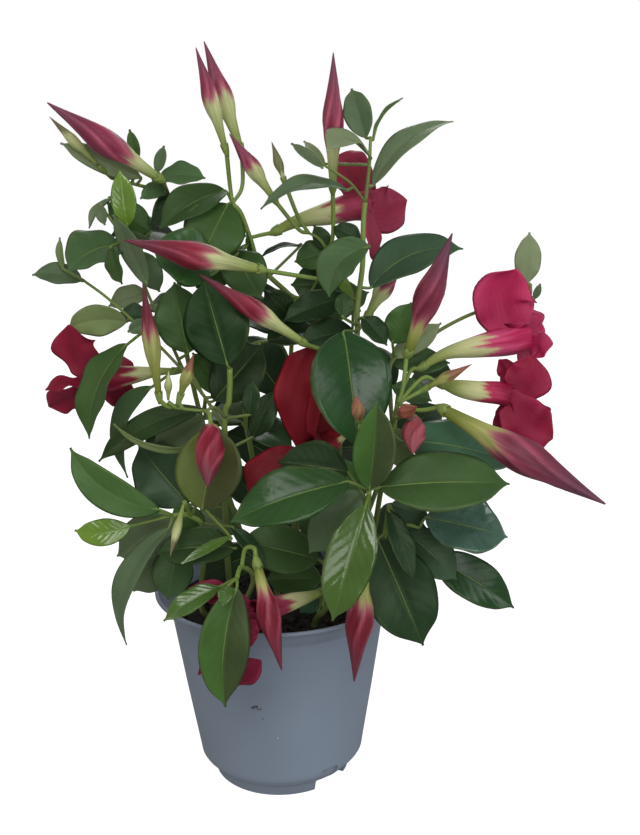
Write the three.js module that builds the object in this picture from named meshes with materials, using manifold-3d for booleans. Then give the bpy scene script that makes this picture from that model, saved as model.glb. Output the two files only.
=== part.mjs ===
// A potted mandevilla: a tapered nursery pot filled with soil, and the twining leafy stems that
// rise from it with glossy opposite leaves, furled buds and five-lobed trumpet flowers.
// Millimetres, +Z up. The origin is the centre of the pot's foot, on the ground, and -Y is the front.
import * as THREE from 'three';
import { mergeVertices } from 'three/addons/utils/BufferGeometryUtils.js';
import Module from 'manifold-3d';

const wasm = await Module();
wasm.setup();

// ---------------------------------------------------------------- driving dimensions

const POT = {
  height: 105, // ground to the top of the rim
  rimRadius: 65,
  collarRadius: 57, // where the flared collar meets the body
  collarZ: 94,
  bodyFootRadius: 44, // bottom of the tapered body
  bodyFootZ: 12,
  footRadius: 36.5, // foot ring that carries the pot
  footWidth: 3.5,
  chamferTopRadius: 38,
  chamferTopZ: 6,
  wall: 1.3,
  lip: 1.6, // depth of the rolled rim
  floorZ: 5.5, // underside of the floor, inside the foot ring
  floorThickness: 1.7,
  padRadius: 9, // moulding pad in the middle of the underside, level with the foot
  // gaps in the foot ring, each [angle, width, height]; the high ones also cut the corner above it,
  // and let water out
  notches: [[-56, 10, 14.5], [-38, 16, 5.5], [64, 10, 14.5], [82, 16, 5.5], [184, 10, 14.5]],
  notchDepth: 20,
  sides: 28,
};

const SOIL = {
  top: 95,
  gap: 0.35, // clear of the pot's wall and of the stems
  holeDepth: 14,
  holeSides: 6,
  roughness: 1.2, // height of the lumps on its surface
  rings: [0.8, 0.4], // shares of the radius where the surface is lumpy
};

const STEM = {
  footZ: SOIL.top - SOIL.holeDepth + SOIL.gap,
  collarZ: SOIL.top + 2, // the stem is straight up to here, clear of its hole
  sides: 5,
  twigSides: 3, // pedicels
  taper: 0.75, // tip radius over foot radius
};

const LEAF = {
  thickness: 0.8,
  rows: [0, 0, 32, 66], // lengths from which a blade has one more row of points
  stalk: 1.3, // width of the petiole
  lean: 0.9, // how far the leaves inside the bush tilt to the front
};

const PETAL = { thickness: 0.8, rows: 3, stalk: 3.4 };

const BUD = {
  sides: 6,
  twist: 50, // degrees that the furled petals wind from neck to tip
};

const CALYX = {
  length: 5.2,
  base: 2.2, // length of the closed base below the corolla
  wall: 0.7,
  gap: 0.3,
  slack: 1.1, // the cup's hollow over the corolla's neck
  pedicelRadius: 0.8,
  sides: 5,
};

const TUBE = { sides: 8, wall: 1.2, throatDepth: 7, rootDepth: 2 };

const SMOOTHING = 0.15; // slivers smaller than this are merged where solids are joined
const SCRAP = 0.5; // volume below which a loose body is dropped

const COLOR = {
  pot: 0x6b7886,
  soil: 0x2e2620,
  leaf: 0x3c6635,
  bud: 0x94324a,
  flower: 0xa02a48,
};

// ---------------------------------------------------------------- layout of the plant
// Places are [x, y, z] in millimetres.
//   branches: [radius at the foot, points of the centre line]; the first starts in the soil
//   leaves:   [base, tip, width, direction the upper side faces, arch, fold in degrees]
//   greenBuds, buds: [name, points of the pedicel, base, tip, width]
//   flowers:  [name, points of the pedicel, [point, radius] along the tube, petals as leaves]

const PLANT = {
  stem_right: {
    branches: [
      [1.6, [[28, -14, 80], [32, -8, 150], [35, -6, 200], [41, -28, 237],
        [42, -24, 254], [45, -20, 275], [46, -16, 296], [47, -15, 304]]],
      [1, [[47, -15, 304], [49, -13, 319], [50, -12, 334]]],
      [0.7, [[47, -15, 304], [40, -18, 313], [30, -22, 320], [22, -26, 325]]],
      [0.9, [[43, -24, 253], [38, -4, 266], [30, 0, 279], [25, 0, 286], [20, 0, 289]]],
    ],
    leaves: [
      [[48, -9, 334], [42, 0, 357], 14, [-0.3, -1, 0.2], 0.05, 0, 20],
      [[50, -14, 325], [28, -38, 328], 16, [-0.2, -0.8, 0.7], 0.16, 0.2, 10],
      [[51, -11, 333], [66, -6, 352], 6, [-0.9, 0.1, 0.5], 0.13, 0, 20],
      [[51, -13, 312], [92, 5, 341], 15, [-0.6, -0.7, 0.5], 0.13, -0.04, 12],
      [[38, -16, 310], [-3, -20, 302], 13, [0, -0.55, 1], 0.2, 0, 12],
      [[29, 8, 322], [19, 12, 333], 5, [-0.4, -0.8, 0.5], 0.05, 0, 20],
      [[26, -30, 321], [12, -24, 332], 5, [-0.1, -0.9, 0.4], 0.05, 0, 20],
      [[49, -21, 264], [96, -6, 280], 23, [-0.1, -0.75, 0.65], 0.06, -0.13, 10],
      [[47, -36, 285], [28, -38, 262], 19, [-0.3, -0.85, 0.4], 0.08, 0.2, 18],
      [[34, -42, 253], [35, -36, 264], 9, [0, -1, 0.25], 0.05, 0, 12],
      [[40, -18, 259], [33, -6, 271], 6, [-0.3, -1, 0.2], 0.05, 0, 10],
      [[34, -46, 247], [38, -74, 198], 37, [0, -0.9, 0.42], 0.1, 0, 8],
      [[38, 2, 257], [6, -6, 246], 17, [-0.1, -0.8, 0.6], 0.06, 0, 10],
      [[41, 16, 261], [11, 20, 261], 24, [-0.1, -0.9, 0.35], 0.05, 0, 10],
      [[41, -4, 241], [14, -10, 235], 17, [0, -0.8, 0.5], 0.08, 0, 10],
      [[44, -30, 251], [55, -36, 238], 12, [0.2, -0.8, 0.5], 0.08, 0, 12],
      [[45, -8, 285], [32, -4, 292], 11, [0, -0.9, 0.4], 0.08, 0, 10],
      [[30, 4, 280], [23, 6, 292], 9, [0, -0.9, 0.3], 0.05, 0, 10],
    ],
    greenBuds: [],
    buds: [
      ['bud_5', [[20, 0, 289], [15, -2, 291]], [4, -4, 305], [-17, -8, 337], 7.9],
      ['bud_6', [[20, 0, 289], [15, 0, 297]], [9, -2, 313], [3, -2, 333], 4.5],
      ['bud_7', [[30, 0, 279], [32, -3, 289]], [32, -6, 310], [33, -8, 373], 9.9],
      ['bud_8', [[38, -6, 264], [23, -24, 269]], [-3, -34, 275], [-63, -58, 292], 12.4],
      ['bud_9', [[40, -28, 234], [27, -36, 236]], [16, -42, 241], [-30, -66, 277], 9.1],
      ['bud_23', [[42, -25, 243]], [48, -6, 247], [68, 14, 275], 9.7],
    ],
    flowers: [
      ['flower_centre', [[41, -24, 209], [43, -10, 193]],
        [[[40, -10, 191], 1.8], [[34, -16, 190], 3.5], [[28, -22, 188], 5.5],
         [[22, -28, 186], 6.9]],
        [
          [[15, -38, 193], [15, -34, 239], 21, [-0.3, -1, 0.2], 0.06, -0.06, 8],
          [[18, -44, 197], [29, -40, 230], 8, [-0.5, -0.9, 0.1], 0.06, -0.05, 14],
          [[13, -40, 186], [-15, -46, 175], 20, [-0.1, -0.9, 0.4], 0.06, 0, 8],
          [[24, -24, 191], [36, -14, 208], 18, [0.2, -0.9, 0.3], 0.05, 0, 8],
          [[22, -30, 180], [23, -30, 166], 17, [0.2, -0.9, -0.3], 0.05, 0, 8],
        ]],
    ],
  },
  stem_top: {
    branches: [
      [1.5, [[6, 8, 80], [12, 14, 150], [25, 18, 240], [10, 12, 257],
        [-4, 6, 272], [-9, 2, 287], [-13, 0, 299], [-17, 0, 304]]],
      [1.1, [[-4, 6, 272], [-20, 14, 286], [-39, 18, 299],
        [-53, 14, 310], [-62, 8, 313], [-75, 2, 317]]],
    ],
    leaves: [
      [[-61, 2, 317], [-98, -2, 334], 12, [0, -0.9, -0.2], 0.04, 0.02, 10],
      [[-63, 8, 325], [-66, 8, 340], 6, [0, -1, 0.25], 0.04, 0, 10],
      [[-54, 10, 319], [-50, 12, 332], 6, [0, -1, 0.25], 0, 0, 25],
      [[-53, 10, 317], [-30, 6, 316], 15, [0, -0.7, 0.7], 0.1, 0, 12],
      [[-34, 8, 304], [-58, 2, 294], 21, [-0.5, -0.7, 0.5], 0.1, 0, 14],
      [[-20, 2, 310], [-52, -12, 293], 22, [-0.3, -0.75, 0.6], 0.12, 0, 14],
      [[-19, -4, 304], [-34, -18, 276], 30, [0.15, -0.85, 0.5], 0.1, 0, 8],
      [[-26, -27, 273], [-54, -34, 287], 30, [0, -0.8, 0.6], 0.1, 0, 10],
      [[-50, 8, 313], [-62, 2, 307], 9, [0, -0.9, 0.4], 0.05, 0, 10],
      [[-5, 4, 272], [-10, 0, 290], 6, [-0.8, -0.6, 0], 0.03, 0, 30],
      [[16, 10, 282], [-4, 4, 277], 7, [0, -0.25, 1], 0.12, 0, 10],
      [[31, 6, 279], [13, 8, 274], 16, [-0.1, -0.9, 0.4], 0.06, 0, 10],
      [[10, 6, 255], [-15, -4, 264], 8, [0, -0.5, 1], 0.08, 0, 14],
      [[-18, -6, 281], [-4, -24, 260], 22, [0, -0.9, 0.4], 0.08, 0, 10],
      [[-15, -2, 276], [-36, -8, 264], 15, [0, -0.9, 0.4], 0.06, 0, 10],
      [[11, 4, 246], [-3, 0, 261], 15, [0, -0.9, 0.3], 0.06, 0, 10],
    ],
    greenBuds: [
      ['bud_2', [[-75, 0, 317]], [-81, -4, 324], [-100, -14, 346], 5],
    ],
    buds: [
      ['bud_1', [[-45, 8, 307]], [-51, -2, 316], [-99, -22, 352], 12.3],
      ['bud_3', [[-17, 0, 304], [-18, 0, 314]], [-19, -5, 329], [-31, -10, 376], 7.9],
      ['bud_4', [[-17, 0, 304], [-12, 2, 312]], [-12, 4, 329], [-28, 6, 380], 9.6],
    ],
    flowers: [
      ['flower_top', [[-9, 2, 287], [-3, 7, 288]],
        [[[3, 10, 289], 2], [[15, 12, 294], 3.3], [[30, 16, 297], 5.7],
         [[43, 20, 300], 7], [[51, 22, 300], 7.3]],
        [
          [[50, 22, 302], [41, 30, 323], 17, [-0.3, -0.9, 0.1], 0.1, 0, 8],
          [[53, 32, 304], [41, 46, 327], 18, [-0.3, -0.8, 0.5], 0.22, 0, 8],
          [[50, 20, 303], [71, 30, 296], 24, [0.25, -1, 0.1], -0.06, 0.06, 8],
          [[51, 14, 298], [53, 8, 272], 11, [0.7, -0.7, 0.2], 0.04, 0, 20],
          [[52, 28, 297], [61, 50, 286], 16, [0.7, -0.4, -0.5], 0.05, 0, 8],
        ]],
    ],
  },
  stem_left: {
    branches: [
      [1.7, [[-16, -18, 80], [-24, -34, 120], [-23, -46, 201], [-20, -50, 217], [-19, -52, 232]]],
      [0.9, [[-23, -46, 202], [-32, -36, 215], [-42, -28, 226],
        [-58, -20, 242], [-78, -13, 260], [-90, -10, 269]]],
      [0.9, [[-42, -28, 226], [-51, -12, 242], [-59, -6, 259], [-65, -6, 277], [-69, -8, 288]]],
      [0.9, [[-22, -48, 208], [-27, -52, 214], [-32, -54, 213], [-47, -50, 214]]],
    ],
    leaves: [
      [[-20, -54, 234], [-30, -44, 272], 30, [0.1, -1, 0.1], 0.06, 0, 8],
      [[-40, -26, 235], [-45, -24, 269], 25, [-0.1, -1, 0], 0.05, 0, 10],
      [[-68, -31, 241], [-87, -42, 198], 23, [-0.72, -0.7, 0.3], 0.12, 0.04, 14],
      [[-70, -14, 249], [-99, -12, 246], 16, [0, -1, -0.1], 0.05, 0.1, 10],
      [[-61, 2, 261], [-80, -2, 255], 13, [-0.2, -0.8, 0.5], 0.1, 0, 12],
      [[-59, -8, 250], [-75, -10, 251], 12, [0, -0.7, 0.7], 0.12, 0, 14],
      [[-59, -20, 250], [-69, -20, 245], 7, [0, -1, 0.1], 0.05, 0, 12],
      [[-91, -10, 269], [-115, -8, 272], 12, [0, -0.8, 0.6], 0.05, 0.07, 10],
      [[-99, -12, 275], [-100, -10, 290], 5, [-0.5, -0.9, 0], 0.05, 0, 20],
      [[-70, -10, 285], [-94, -26, 275], 29, [-0.25, -0.7, 0.7], 0.16, 0.05, 10],
      [[-73, -30, 287], [-68, -36, 270], 11, [-0.7, -0.7, 0.2], 0.05, 0, 14],
      [[-67, -14, 295], [-69, -14, 321], 12, [0.1, -1, 0.1], 0.06, 0, 18],
      [[-59, -16, 267], [-72, -24, 301], 11, [-0.2, -1, 0], -0.05, 0, 8],
      [[-59, 10, 290], [-80, 12, 305], 16, [0.2, -0.9, 0.4], 0.06, 0, 12],
      [[-77, 6, 307], [-88, 4, 293], 9, [-0.8, -0.5, 0.4], 0.1, 0, 20],
      [[-81, 0, 304], [-79, -4, 295], 6, [-0.3, -1, 0.2], 0.1, 0, 10],
      [[-57, 0, 286], [-72, -2, 292], 7, [0, -0.8, -0.5], 0.05, 0, 10],
      [[-64, 5, 281], [-55, 3, 261], 13, [0.1, -1, 0.1], 0.05, 0, 10],
      [[-11, -40, 207], [-9, -38, 223], 9, [0, -1, 0.25], 0.05, 0, 14],
      [[-10, -32, 194], [1, -28, 216], 13, [0, -0.95, 0.2], 0.06, 0, 10],
      [[-28, -34, 213], [-4, -24, 238], 25, [0, -1, 0.2], 0.06, 0, 10],
      [[-57, -36, 221], [-73, -22, 172], 12, [-0.5, -0.75, 0.3], 0.05, 0.22, 12],
      [[-34, -30, 208], [-86, -26, 182], 14, [-0.15, -0.8, 0.5], 0.1, 0.05, 12],
      [[-37, -44, 193], [-76, -38, 204], 5, [0.1, -0.85, -0.5], 0.08, -0.12, 8],
      [[-34, -20, 201], [-60, -12, 184], 18, [0, -0.9, 0.4], 0.06, 0, 10],
      [[-23, -24, 213], [-39, -10, 232], 15, [0.1, -0.95, 0.2], 0.06, 0, 10],
      [[-23, -34, 180], [-6, -30, 158], 17, [0.1, -0.95, 0.2], 0.06, 0, 10],
      [[-43, -30, 160], [-68, -12, 186], 31, [-0.2, -0.95, 0.3], 0.05, 0, 10],
    ],
    greenBuds: [
      ['bud_12', [[-45, -50, 214]], [-48, -52, 218], [-47, -54, 232], 3.7],
    ],
    buds: [
      ['bud_10', [[-47, -50, 214], [-49, -51, 215]], [-52, -52, 219], [-56, -58, 273], 7.8],
      ['bud_11', [[-41, -51, 214]], [-43, -52, 218], [-35, -54, 240], 5.6],
      ['bud_13', [[-32, -54, 213], [-29, -60, 213]], [-28, -66, 208], [-29, -92, 188], 12.9],
    ],
    flowers: [
      ['flower_left', [[-34, -35, 217], [-40, -20, 224]],
        [[[-46, -14, 224], 1.2], [[-56, -15, 224], 2.2], [[-67, -16, 223], 4.2],
         [[-78, -18, 222], 6], [[-86, -20, 222], 7]],
        [
          [[-86, -20, 224], [-102, -16, 245], 23, [-0.5, -0.85, 0.1], -0.08, 0, 8],
          [[-86, -24, 221], [-109, -26, 220], 13, [0, -0.2, 1], 0.06, 0, 8],
          [[-86, -22, 216], [-111, -20, 212], 17, [0.1, -0.8, -0.6], 0.05, 0, 8],
          [[-83, -14, 218], [-72, -2, 208], 15, [0, -1, 0.2], 0.05, 0, 8],
          [[-83, -12, 223], [-72, 2, 226], 15, [0, -0.8, 0.6], 0.06, 0, 8],
        ]],
    ],
  },
  shoot_left: {
    branches: [
      [1.5, [[-32, -30, 80], [-38, -44, 112], [-34, -50, 151], [-40, -54, 162], [-48, -58, 164]]],
      [1, [[-40, -54, 162], [-36, -58, 170]]],
    ],
    leaves: [
      [[-34, -62, 168], [-26, -52, 206], 31, [0, -1, 0.15], 0.05, 0, 16],
      [[-54, -61, 168], [-94, -54, 197], 17, [-0.25, -0.85, 0.5], 0.07, -0.13, 14],
      [[-53, -60, 166], [-85, -56, 171], 12, [0, -0.75, 0.65], 0.08, 0, 10],
      [[-68, -60, 160], [-94, -58, 158], 13, [0, -0.95, 0.4], 0.05, -0.08, 10],
      [[-50, -62, 159], [-73, -60, 100], 15, [-0.78, -0.62, 0.1], 0.17, 0.04, 14],
      [[-48, -50, 159], [-77, -46, 140], 22, [-0.1, -0.9, 0.5], 0.06, 0, 10],
      [[-37, -40, 147], [-49, -40, 163], 16, [0, -0.95, 0.3], 0.06, 0, 10],
      [[-47, -50, 146], [-53, -54, 120], 20, [0, -0.95, 0.3], 0.06, 0, 10],
      [[-52, -38, 142], [-71, -40, 119], 23, [-0.1, -0.95, 0.3], 0.06, 0, 10],
      [[-19, -66, 150], [-56, -68, 149], 22, [0, -0.6, 0.85], 0.08, 0, 8],
      [[-21, -70, 157], [-43, -82, 149], 5, [0, -0.8, 0.6], 0.05, 0, 10],
      [[-21, -62, 159], [-5, -70, 142], 8, [0.5, -0.8, 0.4], 0.06, 0, 14],
    ],
    greenBuds: [
      ['bud_22', [[-40, -54, 162]], [-42, -66, 172], [-48, -80, 152], 4.2],
    ],
    buds: [],
    flowers: [],
  },
  shoot_front_left: {
    branches: [
      [1.4, [[-14, -38, 80], [-18, -52, 110], [-11, -68, 135], [-16, -78, 145], [-18, -86, 143]]],
    ],
    leaves: [
      [[-26, -86, 139], [-51, -92, 126], 12, [-0.1, -0.6, 0.8], 0.08, 0, 14],
      [[-18, -90, 140], [-25, -96, 85], 23, [0.05, -1, 0.1], 0.05, 0, 12],
      [[-22, -90, 141], [-24, -98, 135], 7, [0, -0.8, 0.6], 0.05, 0, 20],
    ],
    greenBuds: [],
    buds: [
      ['bud_20', [[-16, -78, 145], [-14, -79, 154], [-10, -81, 155]], [-9, -84, 150], [1, -96, 102], 10.5],
    ],
    flowers: [],
  },
  shoot_front: {
    branches: [
      [1.6, [[18, -36, 80], [24, -50, 112], [42, -66, 149], [42, -76, 167], [42, -84, 182]]],
    ],
    leaves: [
      [[33, -84, 186], [-20, -88, 170], 28, [-0.1, -0.7, 0.75], 0.09, 0, 8],
      [[39, -74, 178], [15, -76, 150], 22, [-0.1, -0.85, 0.5], 0.06, 0, 8],
      [[40, -90, 177], [24, -100, 127], 22, [-0.1, -1, 0.3], 0.08, 0, 18],
      [[42, -86, 183], [45, -92, 224], 19, [0.05, -1, 0.1], 0.04, 0, 22],
      [[34, -62, 184], [2, -56, 188], 24, [-0.05, -0.85, 0.5], 0.06, 0, 10],
      [[47, -84, 183], [104, -88, 184], 30, [0.05, -0.75, 0.7], 0.07, 0, 8],
      [[20, -54, 138], [-18, -57, 150], 24, [0, -0.85, 0.55], 0.07, 0, 8],
      [[22, -34, 120], [-6, -36, 121], 20, [0, -0.8, 0.6], 0.08, 0, 8],
      [[23, -30, 113], [11, -32, 101], 13, [0, -0.8, 0.6], 0.08, 0, 8],
      [[28, -42, 139], [11, -42, 157], 14, [0, -0.9, 0.4], 0.06, 0, 10],
      [[41, -62, 171], [33, -58, 189], 11, [0, -0.95, 0.2], 0.06, 0, 10],
    ],
    greenBuds: [],
    buds: [
      ['bud_18', [[42, -84, 182], [39, -84, 200]], [38, -84, 214], [36, -88, 226], 5.7],
      ['bud_21', [[42, -76, 167], [41, -77, 157]], [40, -80, 149], [34, -90, 92], 12.6],
    ],
    flowers: [
      ['flower_front', [[33, -50, 120], [26, -42, 117]],
        [[[22, -42, 116], 1.5], [[14, -50, 117], 3], [[5, -60, 119], 4.4],
         [[-6, -72, 121], 5.5], [[-11, -78, 122], 6.1]],
        [
          [[-13, -80, 126], [-39, -82, 140], 11, [-0.1, -0.8, 0.6], 0.05, 0, 8],
          [[-13, -84, 123], [-16, -90, 112], 12, [-0.2, -1, 0.1], 0.05, 0, 10],
          [[-15, -75, 121], [-31, -70, 105], 14, [-0.3, -0.9, -0.1], 0.05, 0, 8],
          [[-28, -80, 95], [-8, -83, 97], 13, [0, -1, 0.1], 0.04, 0.08, 8],
          [[-20, -77, 110], [-39, -79, 94], 6, [-0.2, -1, 0.1], 0.05, 0, 8],
        ]],
    ],
  },
  shoot_right: {
    branches: [
      [1.5, [[38, -26, 80], [48, -40, 112], [51, -58, 148], [53, -64, 168]]],
      [1, [[51, -58, 148], [61, -57, 155], [68, -58, 154]]],
    ],
    leaves: [
      [[52, -70, 168], [62, -84, 138], 11, [0.2, -1, 0.3], 0.06, 0, 16],
      [[48, -62, 150], [68, -74, 101], 34, [-0.05, -0.95, 0.35], 0.08, 0, 8],
      [[55, -50, 163], [74, -48, 156], 13, [0, -0.9, 0.4], 0.06, 0, 10],
      [[62, -50, 150], [86, -58, 127], 21, [0.1, -0.85, 0.5], 0.08, 0, 10],
      [[76, -42, 133], [117, -46, 106], 22, [0, -0.85, 0.5], 0.07, -0.01, 10],
      [[71, -58, 159], [109, -64, 150], 33, [0.05, -0.65, 0.8], 0.08, 0.02, 10],
    ],
    greenBuds: [],
    buds: [],
    flowers: [],
  },
  stem_raceme: {
    branches: [
      [1.6, [[46, -4, 80], [52, -18, 150], [56, -42, 193], [59, -46, 212]]],
      [1.1, [[57, -44, 199], [57, -34, 211], [59, -20, 227], [74, -12, 234], [87, -6, 241],
        [104, 2, 247], [121, 8, 250], [133, 10, 253], [134, 10, 260]]],
    ],
    leaves: [
      [[60, -50, 195], [116, -48, 181], 30, [0, -0.6, 0.8], 0.08, 0, 8],
      [[59, -24, 237], [68, -26, 257], 16, [-0.2, -1, 0.1], 0.05, 0, 12],
      [[59, -18, 229], [84, -16, 245], 12, [0, -1, -0.1], 0.04, 0, 8],
      [[60, -14, 225], [89, -12, 224], 15, [0, -0.8, 0.6], 0.08, 0, 10],
      [[59, -24, 215], [78, -26, 208], 14, [0, -0.7, 0.7], 0.1, 0, 10],
      [[59, -38, 198], [63, -38, 177], 14, [0.1, -0.95, 0.2], 0.06, 0, 10],
      [[131, 10, 260], [133, 12, 286], 14, [0, -1, 0.25], 0.05, 0, 8],
      [[136, 10, 252], [139, 10, 260], 4, [0, -1, 0.25], 0.03, 0, 10],
    ],
    greenBuds: [],
    buds: [
      ['bud_14', [[59, -46, 212], [62, -42, 219]], [65, -34, 233], [84, -46, 291], 13.2],
      ['bud_15', [[59, -46, 212], [65, -42, 214]], [72, -40, 217], [94, -46, 230], 5.2],
      ['bud_16', [[57, -43, 201]], [57, -58, 209], [64, -78, 218], 6.8],
      ['bud_17', [[58, -45, 208], [63, -54, 209]], [65, -62, 208], [62, -80, 197], 10.9],
      ['bud_19', [[59, -46, 212], [68, -52, 210]], [78, -58, 212], [145, -96, 176], 16],
    ],
    flowers: [
      ['flower_right', [[62, -43, 220], [67, -30, 224]],
        [[[73, -22, 224], 1.5], [[86, -18, 230], 3], [[103, -12, 232], 5.6],
         [[118, -6, 233], 7.4], [[129, -2, 235], 8.3]],
        [
          [[122, -8, 237], [114, -8, 268], 31, [-0.25, -1, 0.1], -0.06, -0.05, 8],
          [[130, 0, 238], [142, 16, 236], 14, [0.9, -0.35, 0.3], 0.04, 0, 10],
          [[130, -6, 233], [136, -18, 231], 14, [0.8, -0.6, -0.2], 0.05, 0, 10],
          [[128, 0, 230], [137, 22, 215], 19, [0.6, -0.7, -0.3], 0.05, 0, 8],
          [[132, 8, 235], [134, 34, 247], 20, [0.2, -1, 0.2], 0.05, 0, 8],
        ]],
      ['flower_low_right', [[62, -42, 219], [72, -37, 222]],
        [[[80, -34, 219], 1.5], [[90, -34, 216], 4.1], [[100, -34, 214], 5.1],
         [[109, -34, 213], 5.6], [[114, -34, 212], 5.9]],
        [
          [[114, -34, 214], [131, -30, 224], 23, [0.2, -1, 0.1], 0.06, 0, 8],
          [[115, -30, 215], [114, -22, 228], 10, [-0.7, -0.7, 0.2], -0.12, 0, 14],
          [[114, -36, 210], [131, -34, 185], 26, [0.1, -1, 0.05], 0.06, 0, 12],
          [[114, -36, 208], [114, -26, 189], 12, [-0.5, -0.8, 0.1], 0.05, 0, 8],
          [[118, -26, 211], [136, 4, 211], 21, [0.7, -0.6, 0.2], 0.05, 0, 8],
        ]],
    ],
  },
};

// Stems inside and behind the bush, whose opposite leaves follow a rule: each pair is turned by a
// right angle from the pair below it. `heading` and `pitch` are the first leaf's angles in degrees,
// `from` is where the leaves start along the stem, and `seed` picks each leaf's small changes.
const INNER = {
  stem_back_left: {
    branches: [[1.6, [[-14, 26, 80], [-22, 32, 130], [-40, 36, 190], [-48, 34, 250], [-44, 30, 286]]]],
    pairs: 4, from: 0.2, heading: 120, pitch: 0, length: 40, width: 24, seed: 22,
  },
  stem_back: {
    branches: [[1.6, [[10, 30, 80], [12, 42, 130], [8, 48, 180], [12, 46, 236]]]],
    pairs: 4, from: 0.22, heading: 120, pitch: 24, length: 56, width: 34, seed: 23,
  },
  stem_back_right: {
    branches: [[1.6, [[32, 20, 80], [48, 28, 125], [64, 32, 170], [68, 30, 200]]]],
    pairs: 3, from: 0.26, heading: 120, pitch: 24, length: 56, width: 34, seed: 24,
  },
  stem_middle: {
    branches: [[1.6, [[0, -12, 80], [-4, -10, 140], [-14, -8, 200], [-6, -6, 236]]]],
    pairs: 3, from: 0.26, heading: 30, pitch: -12, length: 40, width: 24, seed: 25,
  },
};

// ---------------------------------------------------------------- numbers and curves

const vec = ([x, y, z]) => new THREE.Vector3(x, y, z);
const radians = THREE.MathUtils.degToRad;

/** A repeatable number from 0 to 1 for the whole numbers i and j. */
function hash(i, j) {
  const s = Math.sin(i * 12.9898 + j * 78.233) * 43758.5453;
  return s - Math.floor(s);
}

/** Value at t of the line through [t, value] pairs. */
function along(pairs, t) {
  const next = pairs.findIndex(([at]) => at >= t);
  if (next <= 0) return pairs[next < 0 ? pairs.length - 1 : 0][1];
  const [t0, v0] = pairs[next - 1];
  const [t1, v1] = pairs[next];
  return v0 + ((v1 - v0) * (t - t0)) / (t1 - t0);
}

/** Half width of a leaf at t, as a share of its widest: full, with a rounded base and a pointed tip. */
const leafOutline = (t) => Math.sin(Math.PI * t ** 0.9) ** 0.72;

/** Half width of a petal at t: broad at the throat and rounded at its end. */
const petalOutline = (t) => Math.sin(Math.PI * (0.12 + 0.88 * t) ** 1.3) ** 0.55;

/** Radius of a furled bud at t, as a share of its widest. */
const BUD_PROFILE = [[0, 0.3], [0.26, 0.58], [0.4, 0.92], [0.54, 1], [0.7, 0.66], [0.86, 0.32], [1, 0.05]];

/** Unit vector at right angles to `axis`, leaning as far as it can towards `towards`. */
function square(axis, towards) {
  return towards.clone().addScaledVector(axis, -axis.dot(towards)).normalize();
}

// ---------------------------------------------------------------- closed solids

/** Solid from a list of points and a list of triangles whose corners turn anticlockwise outside. */
function solidOf(points, triangles) {
  const mesh = new wasm.Mesh({
    numProp: 3,
    vertProperties: new Float32Array(points.flatMap((p) => [p.x, p.y, p.z])),
    triVerts: new Uint32Array(triangles.flat()),
  });
  return new wasm.Manifold(mesh);
}

/** Solid skinned over rings of points, closed at both ends by a fan to one point. */
function skin(rings, start, end) {
  const n = rings[0].length;
  const points = [...rings.flat(), start, end];
  const startIndex = points.length - 2;
  const endIndex = points.length - 1;
  const triangles = [];
  for (let j = 0; j < n; j += 1) {
    const k = (j + 1) % n;
    triangles.push([startIndex, k, j]);
    for (let i = 0; i < rings.length - 1; i += 1) {
      const a = i * n + j;
      const b = i * n + k;
      triangles.push([a, b, b + n], [a, b + n, a + n]);
    }
    const last = (rings.length - 1) * n;
    triangles.push([endIndex, last + j, last + k]);
  }
  return solidOf(points, triangles);
}

/** Rings of radius radii[i] round the points of a path, without twist from one to the next. */
function ringsAlong(path, radii, sides, twist = 0) {
  let across = null;
  return path.map((point, i) => {
    const ahead = path[Math.min(i + 1, path.length - 1)];
    const behind = path[Math.max(i - 1, 0)];
    const tangent = ahead.clone().sub(behind).normalize();
    across = square(tangent, across ?? new THREE.Vector3(0.3, 0.9, 0.2));
    const upward = tangent.clone().cross(across);
    const turn = (twist * i) / (path.length - 1);
    return Array.from({ length: sides }, (_, j) => {
      const angle = turn + (2 * Math.PI * j) / sides;
      return point
        .clone()
        .addScaledVector(across, radii[i] * Math.cos(angle))
        .addScaledVector(upward, radii[i] * Math.sin(angle));
    });
  });
}

/** Round stem along a path, tapering from one radius to another. */
function stemSolid(path, startRadius, endRadius, sides = STEM.sides) {
  const radii = path.map((_, i) => startRadius + ((endRadius - startRadius) * i) / (path.length - 1));
  const rings = ringsAlong(path, radii, sides);
  return skin(rings, path[0], path[path.length - 1]);
}

/** Triangles between two rows of point numbers, which may differ in length. */
function stitch(a, b) {
  const triangles = [];
  let i = 0;
  let j = 0;
  while (i < a.length - 1 || j < b.length - 1) {
    if ((i + 0.5) * (b.length - 1) < (j + 0.5) * (a.length - 1)) {
      triangles.push([a[i], a[i + 1], b[j]]);
      i += 1;
    } else {
      triangles.push([a[i], b[j + 1], b[j]]);
      j += 1;
    }
  }
  return triangles;
}

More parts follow.
